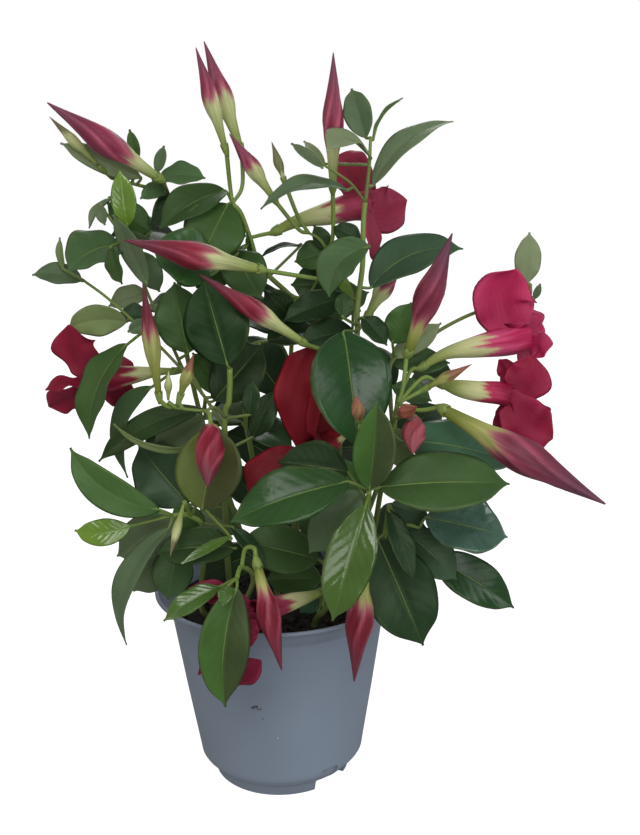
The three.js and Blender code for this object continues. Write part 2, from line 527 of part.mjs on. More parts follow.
/**
 * Thin blade from base to tip, with a stalk from `root` into its base. Its rows of points lie on a
 * shallow arch towards `face` that also bows sideways by `sweep`, and its two halves rise from the
 * midrib by the angle `fold`. Both faces have the same triangles.
 */
function bladeSolid([base, tip, width, face, bend, sweep, fold], root, { outline, thickness, rows, stalk }) {
  const start = vec(base);
  const run = vec(tip).sub(start);
  const length = run.length();
  const axis = run.normalize();
  const up = square(axis, vec(face));
  const side = axis.clone().cross(up);
  const rise = Math.tan(radians(fold));
  const reach = start.clone().sub(root).normalize();
  const rootUp = square(reach, up.clone().addScaledVector(axis, -0.1));
  const rootSide = reach.clone().cross(rootUp);

  const onRoot = (s) => root.clone()
    .addScaledVector(rootSide, (s * stalk) / 2)
    .addScaledVector(rootUp, thickness / 2);
  const onBlade = (t, s) => {
    const half = Math.max((width / 2) * outline(t), stalk / 2);
    const bow = 4 * t * (1 - t) * length;
    const lift = bow * bend + Math.abs(s) * half * rise;
    return start.clone()
      .addScaledVector(axis, t * length)
      .addScaledVector(side, s * half + bow * sweep)
      .addScaledVector(up, lift + thickness / 2);
  };
  const edges = [-1, 1];
  const across = [-1, 0, 1];
  const upper = [edges.map(onRoot), edges.map((s) => onBlade(0, s))];
  for (let i = 0; i < rows; i += 1) {
    const t = (1 - Math.cos((Math.PI * (i + 0.85)) / (rows + 0.7))) / 2;
    upper.push(across.map((s) => onBlade(t, s)));
  }
  upper.push([onBlade(1, 0)]);
  const lower = upper.map((row, i) =>
    row.map((p) => p.clone().addScaledVector(i === 0 ? rootUp : up, -thickness)));

  let count = 0;
  const numbers = upper.map((row) => row.map(() => count++));
  const over = numbers.slice(1).flatMap((row, i) => stitch(numbers[i], row));
  const under = over.map(([a, b, c]) => [a + count, c + count, b + count]);
  const right = numbers.map((row) => row[row.length - 1]);
  const left = numbers.slice(0, -1).map((row) => row[0]);
  const loop = [...right, ...left.reverse()];
  const rim = loop.flatMap((v, i) => {
    const w = loop[(i + 1) % loop.length];
    return [[v, v + count, w + count], [v, w + count, w]];
  });
  return solidOf([...upper.flat(), ...lower.flat()], [...over, ...under, ...rim]);
}

/** One solid from several that touch, without the hollows and scraps that joining them leaves. */
function fuse(solids) {
  const joined = wasm.Manifold.union(solids).asOriginal().simplify(SMOOTHING);
  return wasm.Manifold.compose(joined.decompose().filter((body) => body.volume() > SCRAP));
}

// ---------------------------------------------------------------- parts of the plant

/** Centre lines of a stem's branches; the first one starts straight up out of its hole. */
function centreLines(branches) {
  return branches.map(([radius, points], i) => {
    const path = points.map(vec);
    if (i === 0) {
      const foot = path[0].setZ(STEM.footZ);
      path.splice(1, 0, foot.clone().setZ(STEM.collarZ));
    }
    return { radius, path };
  });
}

/** The point of the branches' centre lines that is nearest to a point. */
function nearestOn(lines, point) {
  let best = null;
  for (const { path } of lines) {
    for (let i = 0; i < path.length - 1; i += 1) {
      const span = new THREE.Line3(path[i], path[i + 1]);
      const found = span.closestPointToPoint(point, true, new THREE.Vector3());
      if (best === null || found.distanceTo(point) < best.distanceTo(point)) best = found;
    }
  }
  return best;
}

/** A leaf on the stem that its base is nearest to. */
function leafSolid(leaf, lines) {
  const [base, tip] = leaf.slice(0, 2).map(vec);
  const rows = LEAF.rows.filter((from) => base.distanceTo(tip) >= from).length;
  return bladeSolid(leaf, nearestOn(lines, base), { ...LEAF, outline: leafOutline, rows });
}

/** Pedicel from the nearest stem through `points`, and a calyx cup round the foot of a corolla. */
function calyxSolids(points, base, axis, neckRadius, lines) {
  const on = (offset) => base.clone().addScaledVector(axis, offset);
  const hollow = neckRadius * CALYX.slack + CALYX.gap;
  const outer = hollow + CALYX.wall;
  const path = [-CALYX.base, -CALYX.gap, CALYX.length - CALYX.base].map(on);
  const shell = ringsAlong(path, [CALYX.pedicelRadius, outer, outer], CALYX.sides);
  const bore = [2, 1].map((i) => shell[i].map((p) => path[i].clone().lerp(p, hollow / outer)));
  const cup = skin([...shell, ...bore], path[0], path[1]);
  return [cup, pedicelSolid(points, on(-CALYX.base / 2), lines)];
}

/** Pedicel from the nearest stem through `points` to `end`. */
function pedicelSolid(points, end, lines) {
  const path = points.map(vec);
  path[0] = nearestOn(lines, path[0]);
  return stemSolid([...path, end], CALYX.pedicelRadius, CALYX.pedicelRadius, STEM.twigSides);
}

/** Furled corolla: a slim neck that swells to the belly and winds up to a long point. */
function budSolid(base, tip, width, sides = BUD.sides) {
  const axis = tip.clone().sub(base);
  const path = BUD_PROFILE.slice(0, -1).map(([t]) => base.clone().addScaledVector(axis, t));
  const radii = BUD_PROFILE.slice(0, -1).map(([, r]) => (r * width) / 2);
  const rings = ringsAlong(path, radii, sides, radians(BUD.twist));
  return skin(rings, base, tip);
}

/** Trumpet: a tube that widens to a hollow throat, and petals rooted in the wall of its mouth. */
function flowerSolid(tube, petals) {
  const path = tube.map(([p]) => vec(p));
  const radii = tube.map(([, r]) => r);
  const outside = ringsAlong(path, radii, TUBE.sides);
  const last = path.length - 1;
  const mouth = path[last];
  const axis = mouth.clone().sub(path[last - 1]).normalize();
  const inward = (share, depth) =>
    outside[last].map((p) => mouth.clone().lerp(p, share).addScaledVector(axis, -depth));
  const inner = 1 - TUBE.wall / radii[last];
  const rings = [...outside, inward(inner, 0), inward(inner * 0.45, TUBE.throatDepth * 0.8)];
  const trumpet = skin(rings, path[0], mouth.clone().addScaledVector(axis, -TUBE.throatDepth));
  const blades = petals.map((petal) => {
    const out = square(axis, vec(petal[0]).add(vec(petal[1])).multiplyScalar(0.5).sub(mouth));
    const root = mouth.clone()
      .addScaledVector(out, radii[last] - TUBE.wall)
      .addScaledVector(axis, -TUBE.rootDepth);
    return bladeSolid(petal, root, { ...PETAL, outline: petalOutline });
  });
  return fuse([trumpet, ...blades]);
}

/** Leaves of an inner stem, in opposite pairs up to its tip, each with a small change of its own. */
function pairedLeaves({ branches, pairs, from, heading, pitch, length, width, seed }) {
  const points = branches[0][1];
  const curve = new THREE.CatmullRomCurve3(points.map(vec), false, 'catmullrom', 0.5);
  const leaves = [];
  for (let k = 0; k < pairs; k += 1) {
    const base = curve.getPoint(from + ((1 - from) * k) / (pairs - 1));
    for (const half of [0, 1]) {
      const way = radians(heading + 90 * k + 180 * half + 24 * (hash(seed, 4 * k + half) - 0.5));
      const lift = radians(pitch + 24 * (hash(seed + 9, 4 * k + half) - 0.5));
      const size = 1 - 0.3 * hash(seed + 5, 4 * k + half);
      const out = new THREE.Vector3(
        Math.cos(way) * Math.cos(lift), Math.sin(way) * Math.cos(lift), Math.sin(lift));
      const start = base.clone().addScaledVector(out, 5);
      const end = start.clone().addScaledVector(out, length * size);
      const face = [out.x * 0.4, out.y * 0.4 - LEAF.lean, 1];
      leaves.push([start.toArray(), end.toArray(), width * size, face, 0.1, 0, 12]);
    }
  }
  return leaves;
}

// ---------------------------------------------------------------- pot and soil

/** Ring of points round the Z axis. */
function level(radius, z, sides = POT.sides, lumps = () => 0) {
  return Array.from({ length: sides }, (_, j) => {
    const angle = (2 * Math.PI * j) / sides;
    return new THREE.Vector3(radius * Math.cos(angle), radius * Math.sin(angle), z + lumps(j));
  });
}

/** Inside radius of the pot's tapered body at a height. */
function insideRadius(z) {
  const share = (z - POT.bodyFootZ) / (POT.collarZ - POT.bodyFootZ);
  return POT.bodyFootRadius + (POT.collarRadius - POT.bodyFootRadius) * share - POT.wall;
}

/** Closed solid of a three.js geometry. */
function geometrySolid(geometry) {
  geometry.deleteAttribute('normal');
  geometry.deleteAttribute('uv');
  const merged = mergeVertices(geometry);
  return new wasm.Manifold(new wasm.Mesh({
    numProp: 3,
    vertProperties: new Float32Array(merged.attributes.position.array),
    triVerts: new Uint32Array(merged.index.array),
  }));
}

/** The pot: foot ring with drain notches, tapered wall, flared collar and rolled rim. */
function potSolid() {
  const { floorZ, rimRadius, height, lip, wall } = POT;
  const innerFloorZ = floorZ + POT.floorThickness;
  const profile = [
    [POT.padRadius, 0],
    [POT.padRadius, floorZ],
    [POT.footRadius - POT.footWidth, floorZ],
    [POT.footRadius - POT.footWidth, 0],
    [POT.footRadius, 0],
    [POT.chamferTopRadius, POT.chamferTopZ],
    [POT.bodyFootRadius, POT.bodyFootZ],
    [POT.collarRadius, POT.collarZ],
    [POT.collarRadius + 3, POT.collarZ + 3],
    [rimRadius - 1, height - lip - 0.6],
    [rimRadius, height - lip],
    [rimRadius, height],
    [rimRadius - wall - 0.3, height],
    [rimRadius - wall - 1, height - lip - 0.6],
    [insideRadius(POT.collarZ), POT.collarZ + 0.8],
    [insideRadius(POT.bodyFootZ + 1), POT.bodyFootZ + 1],
    [POT.bodyFootRadius - 4.5, innerFloorZ],
  ];
  const rings = profile.map(([radius, z]) => level(radius, z));
  const shell = skin(rings, new THREE.Vector3(0, 0, 0), new THREE.Vector3(0, 0, innerFloorZ));
  const notches = POT.notches.map(([angle, width, top]) => {
    const box = new THREE.BoxGeometry(POT.notchDepth, width, 2 * top);
    box.translate(POT.footRadius + POT.notchDepth / 2 - POT.footWidth - 1, 0, 0);
    box.rotateZ(radians(angle));
    return geometrySolid(box);
  });
  return shell.subtract(wasm.Manifold.union(notches));
}

/** The soil: fills the pot below the collar, lumpy on top, with a plain hole for each stem. */
function soilSolid(stems) {
  const floor = POT.floorZ + POT.floorThickness + SOIL.gap;
  const edge = insideRadius(POT.collarZ) - SOIL.gap;
  const lumps = (ring) => (j) => SOIL.roughness * (hash(ring, j) - 0.5);
  const sides = [
    level(POT.bodyFootRadius - 5, floor),
    level(insideRadius(POT.bodyFootZ + 1) - SOIL.gap, POT.bodyFootZ + 1.3),
    level(edge, SOIL.top - 1.2),
  ];
  const surface = SOIL.rings.map((share, i) => level(edge * share, SOIL.top, POT.sides, lumps(i)));
  const rings = [...sides, ...surface];
  const fill = skin(rings, new THREE.Vector3(0, 0, floor), new THREE.Vector3(0, 0, SOIL.top));
  const holes = stems.map(([radius, [[x, y]]]) => {
    const width = radius + 2 * SOIL.gap;
    const bore = new THREE.CylinderGeometry(width, width, 2 * SOIL.holeDepth, SOIL.holeSides);
    bore.rotateX(Math.PI / 2);
    bore.translate(x, y, SOIL.top);
    return geometrySolid(bore);
  });
  return fill.subtract(wasm.Manifold.union(holes));
}

// ---------------------------------------------------------------- assembly

const mandevilla = new THREE.Group();

/** Adds a solid to the model as a named mesh. */
function add(name, solid, color, roughness) {
  const { vertProperties, triVerts } = solid.getMesh();
  const geometry = new THREE.BufferGeometry();
  geometry.setAttribute('position', new THREE.BufferAttribute(vertProperties, 3));
  geometry.setIndex(new THREE.BufferAttribute(triVerts, 1));
  const material = new THREE.MeshStandardMaterial({ color, roughness, metalness: 0, flatShading: true });
  const mesh = new THREE.Mesh(geometry, material);
  mesh.name = name;
  mandevilla.add(mesh);
}

/** Adds a leafy stem, and the corollas that stand in its calyx cups. */
function addStem(name, { branches, leaves, greenBuds = [], buds = [], flowers = [] }) {
  const lines = centreLines(branches);
  const solids = lines.map(({ radius, path }) => stemSolid(path, radius, radius * STEM.taper));
  solids.push(...leaves.map((leaf) => leafSolid(leaf, lines)));
  const cupDepth = CALYX.length - CALYX.base;

  for (const [, pedicel, base, tip, width] of greenBuds) {
    solids.push(budSolid(vec(base), vec(tip), width, CALYX.sides));
    solids.push(pedicelSolid(pedicel, vec(base).lerp(vec(tip), 0.1), lines));
  }
  for (const [budName, pedicel, base, tip, width] of buds) {
    const length = vec(base).distanceTo(vec(tip));
    const neck = (along(BUD_PROFILE, cupDepth / length) * width) / 2;
    solids.push(...calyxSolids(pedicel, vec(base), vec(tip).sub(vec(base)).normalize(), neck, lines));
    add(budName, budSolid(vec(base), vec(tip), width), COLOR.bud, 0.5);
  }
  for (const [flowerName, pedicel, tube, petals] of flowers) {
    const [[first, r0], [second, r1]] = tube;
    const axis = vec(second).sub(vec(first));
    const neck = r0 + ((r1 - r0) * cupDepth) / axis.length();
    solids.push(...calyxSolids(pedicel, vec(first), axis.normalize(), neck, lines));
    add(flowerName, flowerSolid(tube, petals), COLOR.flower, 0.6);
  }
  add(name, fuse(solids), COLOR.leaf, 0.4);
}

const innerStems = Object.entries(INNER).map(([name, stem]) => [
  name, { branches: stem.branches, leaves: pairedLeaves(stem) },
]);
const stems = [...Object.entries(PLANT), ...innerStems];

add('pot', potSolid(), COLOR.pot, 0.55);
add('soil', soilSolid(stems.map(([, { branches }]) => branches[0])), COLOR.soil, 1);
for (const [name, stem] of stems) addStem(name, stem);

export default mandevilla;
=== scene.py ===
# %% [markdown]
# # A mandevilla in its nursery pot
# A mandevilla is a tropical climber with glossy opposite leaves. Its flowers open from long buds
# that are furled like umbrellas. This lesson dresses a plain solid model of one plant, stem by stem.
# The solid model is loaded first, and every finished piece stands exactly where a solid stands.
# Nearly every piece here is one idea: a row of rings, closed into a skin. A stem has round rings,
# a leaf has rings that are squashed flat, and a trumpet has rings that widen and then turn inwards.

import bpy
import numpy as np
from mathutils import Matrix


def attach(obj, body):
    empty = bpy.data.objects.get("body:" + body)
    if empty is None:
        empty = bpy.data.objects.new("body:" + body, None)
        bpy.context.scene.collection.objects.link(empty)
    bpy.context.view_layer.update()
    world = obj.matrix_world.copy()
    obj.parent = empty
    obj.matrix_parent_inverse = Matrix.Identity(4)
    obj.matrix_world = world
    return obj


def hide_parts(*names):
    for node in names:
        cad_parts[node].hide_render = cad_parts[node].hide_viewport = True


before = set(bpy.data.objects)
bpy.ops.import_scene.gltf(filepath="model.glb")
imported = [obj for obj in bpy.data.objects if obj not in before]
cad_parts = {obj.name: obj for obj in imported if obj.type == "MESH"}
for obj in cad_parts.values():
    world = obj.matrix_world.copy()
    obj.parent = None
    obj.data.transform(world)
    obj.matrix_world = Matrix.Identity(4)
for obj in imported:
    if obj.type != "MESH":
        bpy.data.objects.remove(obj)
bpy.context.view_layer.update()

MM = 0.001  # the layout below is in millimetres, and Blender works in metres

# %% [markdown]
# ## Camera
# The camera stands half a metre in front of the plant, level with its upper leaves, and looks down.
# Its three axes are worked out from a heading, a downward tilt and a small roll, and then written
# into its matrix. The lens is given for a 36 mm wide sensor laid along the picture's long side.

# %% Camera
CAMERA_PLACE = (2, -550, 332)
HEADING, TILT, ROLL = np.radians([2.3, 14.0, -1.0])
LENS = 47.47


def stand(name, data, place, axes):
    """A new object at a place in millimetres. The axes are its right, up and backward directions."""
    body = bpy.data.objects.new(name, data)
    bpy.context.scene.collection.objects.link(body)
    pose = np.eye(4)
    pose[:3, :3] = np.transpose(axes)
    pose[:3, 3] = np.array(place) * MM
    body.matrix_world = pose.T
    return body


ahead = np.array([np.sin(HEADING) * np.cos(TILT), np.cos(HEADING) * np.cos(TILT), -np.sin(TILT)])
right = np.cross(ahead, [0, 0, 1])
right /= np.linalg.norm(right)
up = np.cross(right, ahead)
rolled_right = np.cos(ROLL) * right + np.sin(ROLL) * up
rolled_up = np.cos(ROLL) * up - np.sin(ROLL) * right
camera = stand("camera", bpy.data.cameras.new("camera"), CAMERA_PLACE, [rolled_right, rolled_up, -ahead])
camera.data.sensor_width = 36
camera.data.lens = LENS
bpy.context.scene.camera = camera
print("camera looks along", ahead.round(3))

# %% [markdown]
# ## Vectors, curves and colours
# A few small helpers carry most of the work. `unit` makes a direction, `square` makes a direction
# at right angles to another one, and `smooth` runs a soft curve through a few points, which is how
# a stem stops looking like bent wire.

# %% Vectors, curves and colours


def unit(v):
    """The vector, or each row of vectors, divided by its own length."""
    v = np.asarray(v, float)
    return v / np.maximum(np.linalg.norm(v, axis=-1, keepdims=True), 1e-9)


def square(axis, towards):
    """What is left of `towards` once its part along `axis` is taken away, as a direction."""
    axis, towards = np.asarray(axis, float), np.asarray(towards, float)
    return unit(towards - axis * np.sum(axis * towards, axis=-1, keepdims=True))


def smooth(points, steps):
    """Catmull-Rom curve. Between points 1 and 2 it is the cubic that passes through both, with a
    slope at each that is half the line between its neighbours. Each end is carried on straight."""
    p = np.asarray(points, float)
    p = np.vstack([2 * p[0] - p[1], p, 2 * p[-1] - p[-2]])
    t = np.linspace(0, 1, steps, endpoint=False)[None, :, None]
    a, b, c, d = (p[i : len(p) - 3 + i, None, :] for i in range(4))
    cubic = b + t * (c - a) / 2 + t**2 * (2 * a - 5 * b + 4 * c - d) / 2
    cubic = cubic + t**3 * (3 * b - 3 * c + d - a) / 2
    return np.vstack([cubic.reshape(-1, p.shape[1]), p[-2]])


def scatter(i, j):
    """A repeatable number from 0 to 1 for two numbers: the fraction of a large, fast sine."""
    s = np.sin(np.asarray(i) * 12.9898 + np.asarray(j) * 78.233) * 43758.5453
    return s - np.floor(s)


def srgb(r, g, b):
    """A colour given as 0 to 255 on a screen, as the linear light that Blender works in."""
    c = np.array([r, g, b]) / 255
    return np.where(c <= 0.04045, c / 12.92, ((c + 0.055) / 1.055) ** 2.4)


def ramp(x, start, end):
    """0 before start, 1 after end, and a soft S between them: 3 x squared minus 2 x cubed."""
    t = np.clip((np.asarray(x, float) - start) / (end - start), 0, 1)
    return t * t * (3 - 2 * t)


def mix(a, b, share):
    """Colour a where share is 0, colour b where it is 1."""
    share = np.asarray(share, float)[..., None]
    return np.asarray(a) * (1 - share) + np.asarray(b) * share


def circle(sides):
    """Angles at even steps once round."""
    return np.linspace(0, 2 * np.pi, sides, endpoint=False)


# %% [markdown]
# ## From rings to a mesh
# `skin` closes a stack of rings into one shell with a point at each end. It needs no loop over
# vertices, because a vertex's number is its ring times the ring's length plus its place on the ring.
# If the shell comes out inside out, its volume is negative, and every face is turned round.
# `make_piece` joins several shells into one Blender object. It also stores a map for the shaders:
# U runs along the shell and V round it, and `tint` is a colour for each vertex.

# %% From rings to a mesh


def skin(rings, tint, uv=None, columns=None):
    """Shell over rings[i, j]. Quads join ring i to ring i + 1, and fans close the first and last
    ring to their centres. `columns` gives the number of the material for each column of quads."""
    n, m, _ = rings.shape
    points = np.vstack([rings.reshape(-1, 3), rings[0].mean(axis=0), rings[-1].mean(axis=0)])
    i, j = np.meshgrid(np.arange(n - 1), np.arange(m), indexing="ij")
    k = (j + 1) % m
    quads = np.stack([i * m + j, i * m + k, (i + 1) * m + k, (i + 1) * m + j], axis=-1).reshape(-1, 4)
    column = np.arange(m)
    following = (column + 1) % m
    first = np.stack([np.full(m, n * m), following, column], axis=-1)
    last = np.stack([np.full(m, n * m + 1), (n - 1) * m + column, (n - 1) * m + following], axis=-1)
    triangles = np.vstack([first, last])
    a, b, c, d = (points[quads[:, q]] for q in range(4))
    e, f, g = (points[triangles[:, q]] for q in range(3))
    volume = sum(np.einsum("ij,ij->", x, np.cross(y, z)) for x, y, z in [(a, b, c), (a, c, d), (e, f, g)])
    if volume < 0:
        quads, triangles = quads[:, ::-1], triangles[:, ::-1]
    if uv is None:
        uv = np.stack(np.meshgrid(np.linspace(0, 1, n), np.linspace(0, 1, m), indexing="ij"), axis=-1)
    tint = np.broadcast_to(tint, (n, m, 3)).reshape(-1, 3)
    tint = np.vstack([tint, tint[:m].mean(axis=0), tint[-m:].mean(axis=0)])
    uv = np.vstack([uv.reshape(-1, 2), uv[0].mean(axis=0), uv[-1].mean(axis=0)])
    slots = np.zeros(len(quads), int) if columns is None else np.tile(columns, n - 1)
    return {"points": points, "quads": quads, "triangles": triangles, "tint": tint, "uv": uv, "slots": slots}


def make_piece(name, shells, materials, node):
    """One object from several shells, at the origin, standing for a node of the solid model."""

    def joined(key, starts=None):
        starts = np.zeros(len(shells), int) if starts is None else starts
        return np.concatenate([shell[key] + start for shell, start in zip(shells, starts)])

    starts = np.cumsum([0] + [len(s["points"]) for s in shells[:-1]])
    points, quads, triangles = joined("points") * MM, joined("quads", starts), joined("triangles", starts)
    corners = np.concatenate([quads.ravel(), triangles.ravel()])
    sizes = np.repeat([4, 3], [len(quads), len(triangles)])
    mesh = bpy.data.meshes.new(name)
    mesh.vertices.add(len(points))
    mesh.vertices.foreach_set("co", points.ravel())
    mesh.loops.add(len(corners))
    mesh.loops.foreach_set("vertex_index", corners)
    mesh.polygons.add(len(sizes))
    mesh.polygons.foreach_set("loop_start", np.cumsum(sizes) - sizes)
    slots = np.concatenate([joined("slots"), np.zeros(len(triangles), int)])
    mesh.polygons.foreach_set("material_index", slots)
    mesh.polygons.foreach_set("use_smooth", np.ones(len(sizes), bool))
    mesh.uv_layers.new(name="UVMap").data.foreach_set("uv", joined("uv")[corners].ravel())
    colours = np.hstack([joined("tint"), np.ones((len(points), 1))])
    mesh.color_attributes.new("tint", "FLOAT_COLOR", "POINT").data.foreach_set("color", colours.ravel())
    mesh.update(calc_edges=True)
    mesh.validate()
    for material in materials:
        mesh.materials.append(material)
    piece = bpy.data.objects.new(name, mesh)
    bpy.context.scene.collection.objects.link(piece)
    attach(piece, "root")
    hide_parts(node)
    print(name, len(quads) * 2 + len(triangles), "triangles")


# %% [markdown]
# ## Finishes
# A finish here is one Principled shader with a few nodes in front of it. `Finish` keeps the wiring
# short: `node` adds a node and fills its inputs, and `feed` joins a socket to the shader. Colours
# come in through the `tint` attribute, so a leaf, a bud and a stem can each have their own colours
# in one mesh, and the nodes add only what is finer than the mesh: veins, streaks, clouds and grain.

# %% Helpers for finishes


class Finish:
    """A material with a Principled shader and short words for adding and joining nodes."""

    def __init__(self, name, roughness, specular, glint=(1, 1, 1)):
        self.material = bpy.data.materials.new(name)
        self.material.use_nodes = True
        self.tree = self.material.node_tree
        self.shader = self.tree.nodes["Principled BSDF"]
        self.shader.inputs["Roughness"].default_value = roughness
        self.shader.inputs["Specular IOR Level"].default_value = specular
        self.shader.inputs["Specular Tint"].default_value = (*glint, 1)

    def feed(self, place, socket):
        """Join a socket to one of the shader's inputs."""
        self.tree.links.new(socket, self.shader.inputs[place])

    def node(self, kind, settings=None, **values):
        """A new node. `settings` are its own options. The values go into its inputs, and a value
        called i0, i1 and so on goes into the input with that number."""
        made = self.tree.nodes.new("ShaderNode" + kind)
        for key, value in (settings or {}).items():
            setattr(made, key, value)
        for key, value in values.items():
            place = int(key[1:]) if key[1:].isdigit() else key
            if isinstance(value, bpy.types.NodeSocket):
                self.tree.links.new(value, made.inputs[place])
            else:
                made.inputs[place].default_value = value
        return made

    def math(self, operation, a, b=0.0, c=0.0):
        """One step of arithmetic on numbers or sockets."""
        return self.node("Math", {"operation": operation}, i0=a, i1=b, i2=c).outputs[0]

    def band(self, value, start, end, low=0.0, high=1.0):
        """A soft step: low below start, high above end."""
        settings = {"interpolation_type": "SMOOTHSTEP"}
        return self.node("MapRange", settings, i0=value, i1=start, i2=end, i3=low, i4=high).outputs[0]

    def noise(self, scale, detail=2.0, where=None, stretch=(1, 1, 1)):
        """Cloudy values about 0.5, in the object's own coordinates unless told where."""
        place = where or self.node("TexCoord").outputs["Object"]
        turned = self.node("Mapping", Vector=place, Scale=stretch).outputs[0]
        return self.node("TexNoise", Vector=turned, Scale=scale, Detail=detail).outputs["Fac"]

    def tint(self):
        """The colour stored on the mesh."""
        return self.node("Attribute", {"attribute_name": "tint"}).outputs["Color"]

    def blend(self, a, b, share, kind="MIX"):
        """Colour b over colour a by a share."""
        return self.node("Mix", {"data_type": "RGBA", "blend_type": kind}, i0=share, i6=a, i7=b).outputs[2]

    def shade(self, colour, factor):
        """The colour times a number that varies over the surface."""
        grey = self.node("CombineColor", Red=factor, Green=factor, Blue=factor).outputs[0]
        return self.blend(colour, grey, 1.0, "MULTIPLY")

    def bump(self, height, strength, distance):
        """Surface relief from a height, given in metres."""
        made = self.node("Bump", Strength=strength, Distance=distance, Height=height)
        self.feed("Normal", made.outputs[0])


# %% [markdown]
# ## Leaf finish
# A mandevilla leaf is leathery. Its midrib is a pale line that runs to the tip, and seven or eight
# side veins leave it on each side, curving forwards. On the upper face the veins are sunken and the
# leaf swells a little between them, so the gloss breaks into soft bands. The map's U runs from the
# leaf's base to its tip, and V across it, which makes every vein a simple formula: a side vein is
# where U minus a share of the distance from the midrib passes a whole step. The relief fades out at
# both ends, where the map is squeezed.
#
# There are four finishes: the satin upper face of most leaves, the dull lower face, the shine of a
# few well lit leaves, and the wet shine of young shoots. The glossier a leaf, the more it ripples.

# %% Leaf finish
SIDE_VEINS = 8.0
VEIN_SLANT = 0.26
LEAF_RELIEF = 0.0007


def leaf_finish(name, upper, roughness, ripple, specular, glint):
    """Upper face: deep, sunken veins. Lower face: paler, raised veins."""
    leaf = Finish(name, roughness, specular, glint)
    uv = leaf.node("SeparateXYZ", Vector=leaf.node("UVMap").outputs[0])
    along, across = uv.outputs[0], uv.outputs[1]
    off = leaf.math("ABSOLUTE", leaf.math("MULTIPLY_ADD", across, 2.0, -1.0))
    midrib = leaf.band(off, 0.01, 0.04, 1.0, 0.0)
    bent = leaf.math("MULTIPLY", leaf.math("POWER", off, 1.25), VEIN_SLANT)
    phase = leaf.math("FRACT", leaf.math("MULTIPLY", leaf.math("SUBTRACT", along, bent), SIDE_VEINS))
    from_vein = leaf.math("ABSOLUTE", leaf.math("SUBTRACT", phase, 0.5))
    fade = leaf.band(off, 0.55, 0.95, 1.0, 0.0)
    vein = leaf.math("MULTIPLY", leaf.band(from_vein, 0.0, 0.11, 1.0, 0.0), fade)
    swell = leaf.math("MULTIPLY", leaf.band(from_vein, 0.0, 0.45), leaf.band(off, 0.05, 0.3))

    toned = leaf.shade(leaf.tint(), leaf.band(leaf.noise(55.0, 3.0), 0.25, 0.75, 0.86, 1.14))
    pale = (*srgb(150, 168, 96), 1) if upper else (*srgb(168, 180, 128), 1)
    lined = leaf.blend(toned, pale, leaf.math("MULTIPLY", midrib, 0.1))
    veined = leaf.blend(lined, pale, leaf.math("MULTIPLY", vein, 0.025 if upper else 0.06))
    leaf.feed("Base Color", veined)
    leaf.feed("Roughness", leaf.band(leaf.noise(60.0), 0.35, 0.65, roughness - 0.06, roughness + 0.08))

    relief = leaf.math("MULTIPLY", swell, 0.16 + 0.3 * ripple)
    relief = leaf.math("MULTIPLY_ADD", midrib, -0.6 if upper else 0.9, relief)
    relief = leaf.math("MULTIPLY_ADD", leaf.noise(900.0), 0.03, relief)
    relief = leaf.math("MULTIPLY_ADD", leaf.noise(300.0), ripple, relief)
    ends = leaf.math("MULTIPLY", leaf.band(along, 0.02, 0.15), leaf.band(along, 0.68, 0.9, 1.0, 0.0))
    leaf.bump(leaf.math("MULTIPLY", relief, ends), 0.35, LEAF_RELIEF)
    return leaf.material


LEAF_FINISHES = [
    leaf_finish("leaf_upper", True, 0.42, 0.0, 0.24, (0.8, 1.0, 0.7)),
    leaf_finish("leaf_lower", False, 0.56, 0.0, 0.2, (0.9, 1.0, 0.8)),
    leaf_finish("leaf_upper_shiny", True, 0.28, 0.6, 0.32, (1.0, 1.0, 1.0)),
    leaf_finish("leaf_upper_wet", True, 0.2, 0.9, 0.7, (1.0, 1.0, 1.0)),
]
print("leaf finishes:", [m.name for m in LEAF_FINISHES])

# %% [markdown]
# ## Stem, bud and petal finishes
# Young stems are smooth and waxy, buds and petals are soft, and all three are streaked along their
# length. One noise in the map's own coordinates makes the streaks: it is stretched so that it
# changes many times round the piece and only a few times along it. Petals have the finest streaks
# and the dullest gloss, which makes them look like velvet.

# %% Stem, bud and petal finishes


def streaked_finish(name, roughness, specular, strength, streaks):
    """The mesh's own colour under fine lengthwise streaks, with a slight grain."""
    soft = Finish(name, roughness, specular)
    streak = soft.noise(1.0, 3.0, soft.node("UVMap").outputs[0], (3.0, streaks, 1.0))
    toned = soft.shade(soft.tint(), soft.band(streak, 0.3, 0.7, 1 - strength, 1 + strength))
    soft.feed("Base Color", soft.shade(toned, soft.band(soft.noise(70.0), 0.3, 0.7, 0.92, 1.08)))
    soft.bump(soft.math("MULTIPLY_ADD", soft.noise(700.0), 0.3, streak), 0.35, 0.0005)
    return soft.material


STEM_FINISH = streaked_finish("green_stem", 0.42, 0.3, 0.1, 18.0)
BUD_FINISH = streaked_finish("furled_bud", 0.42, 0.25, 0.16, 34.0)
PETAL_FINISH = streaked_finish("petal", 0.52, 0.2, 0.14, 60.0)
print("finishes:", STEM_FINISH.name, BUD_FINISH.name, PETAL_FINISH.name)

# %% [markdown]
# ## Stems
# The stems twine, so no stretch of one is straight. Each branch is a smooth curve through its points
# with a round section that thins towards the tip. The first branch of a stem goes straight down
# through its hole in the soil. `tube` carries circles along any path, and it is used again for
# petioles, flower stalks, buds and trumpets. Its circles don't twist, because each one is measured
# from the same fixed direction, chosen to be as far as possible from the path's own directions.

# %% Stems
SOIL_TOP = 95.0
STEM_FOOT = 81.35  # the foot of a stem, in its hole in the soil
STEM_TAPER = 0.75  # share of the radius that is left at the tip
BARK = srgb(96, 106, 58)
SHOOT = srgb(116, 138, 66)


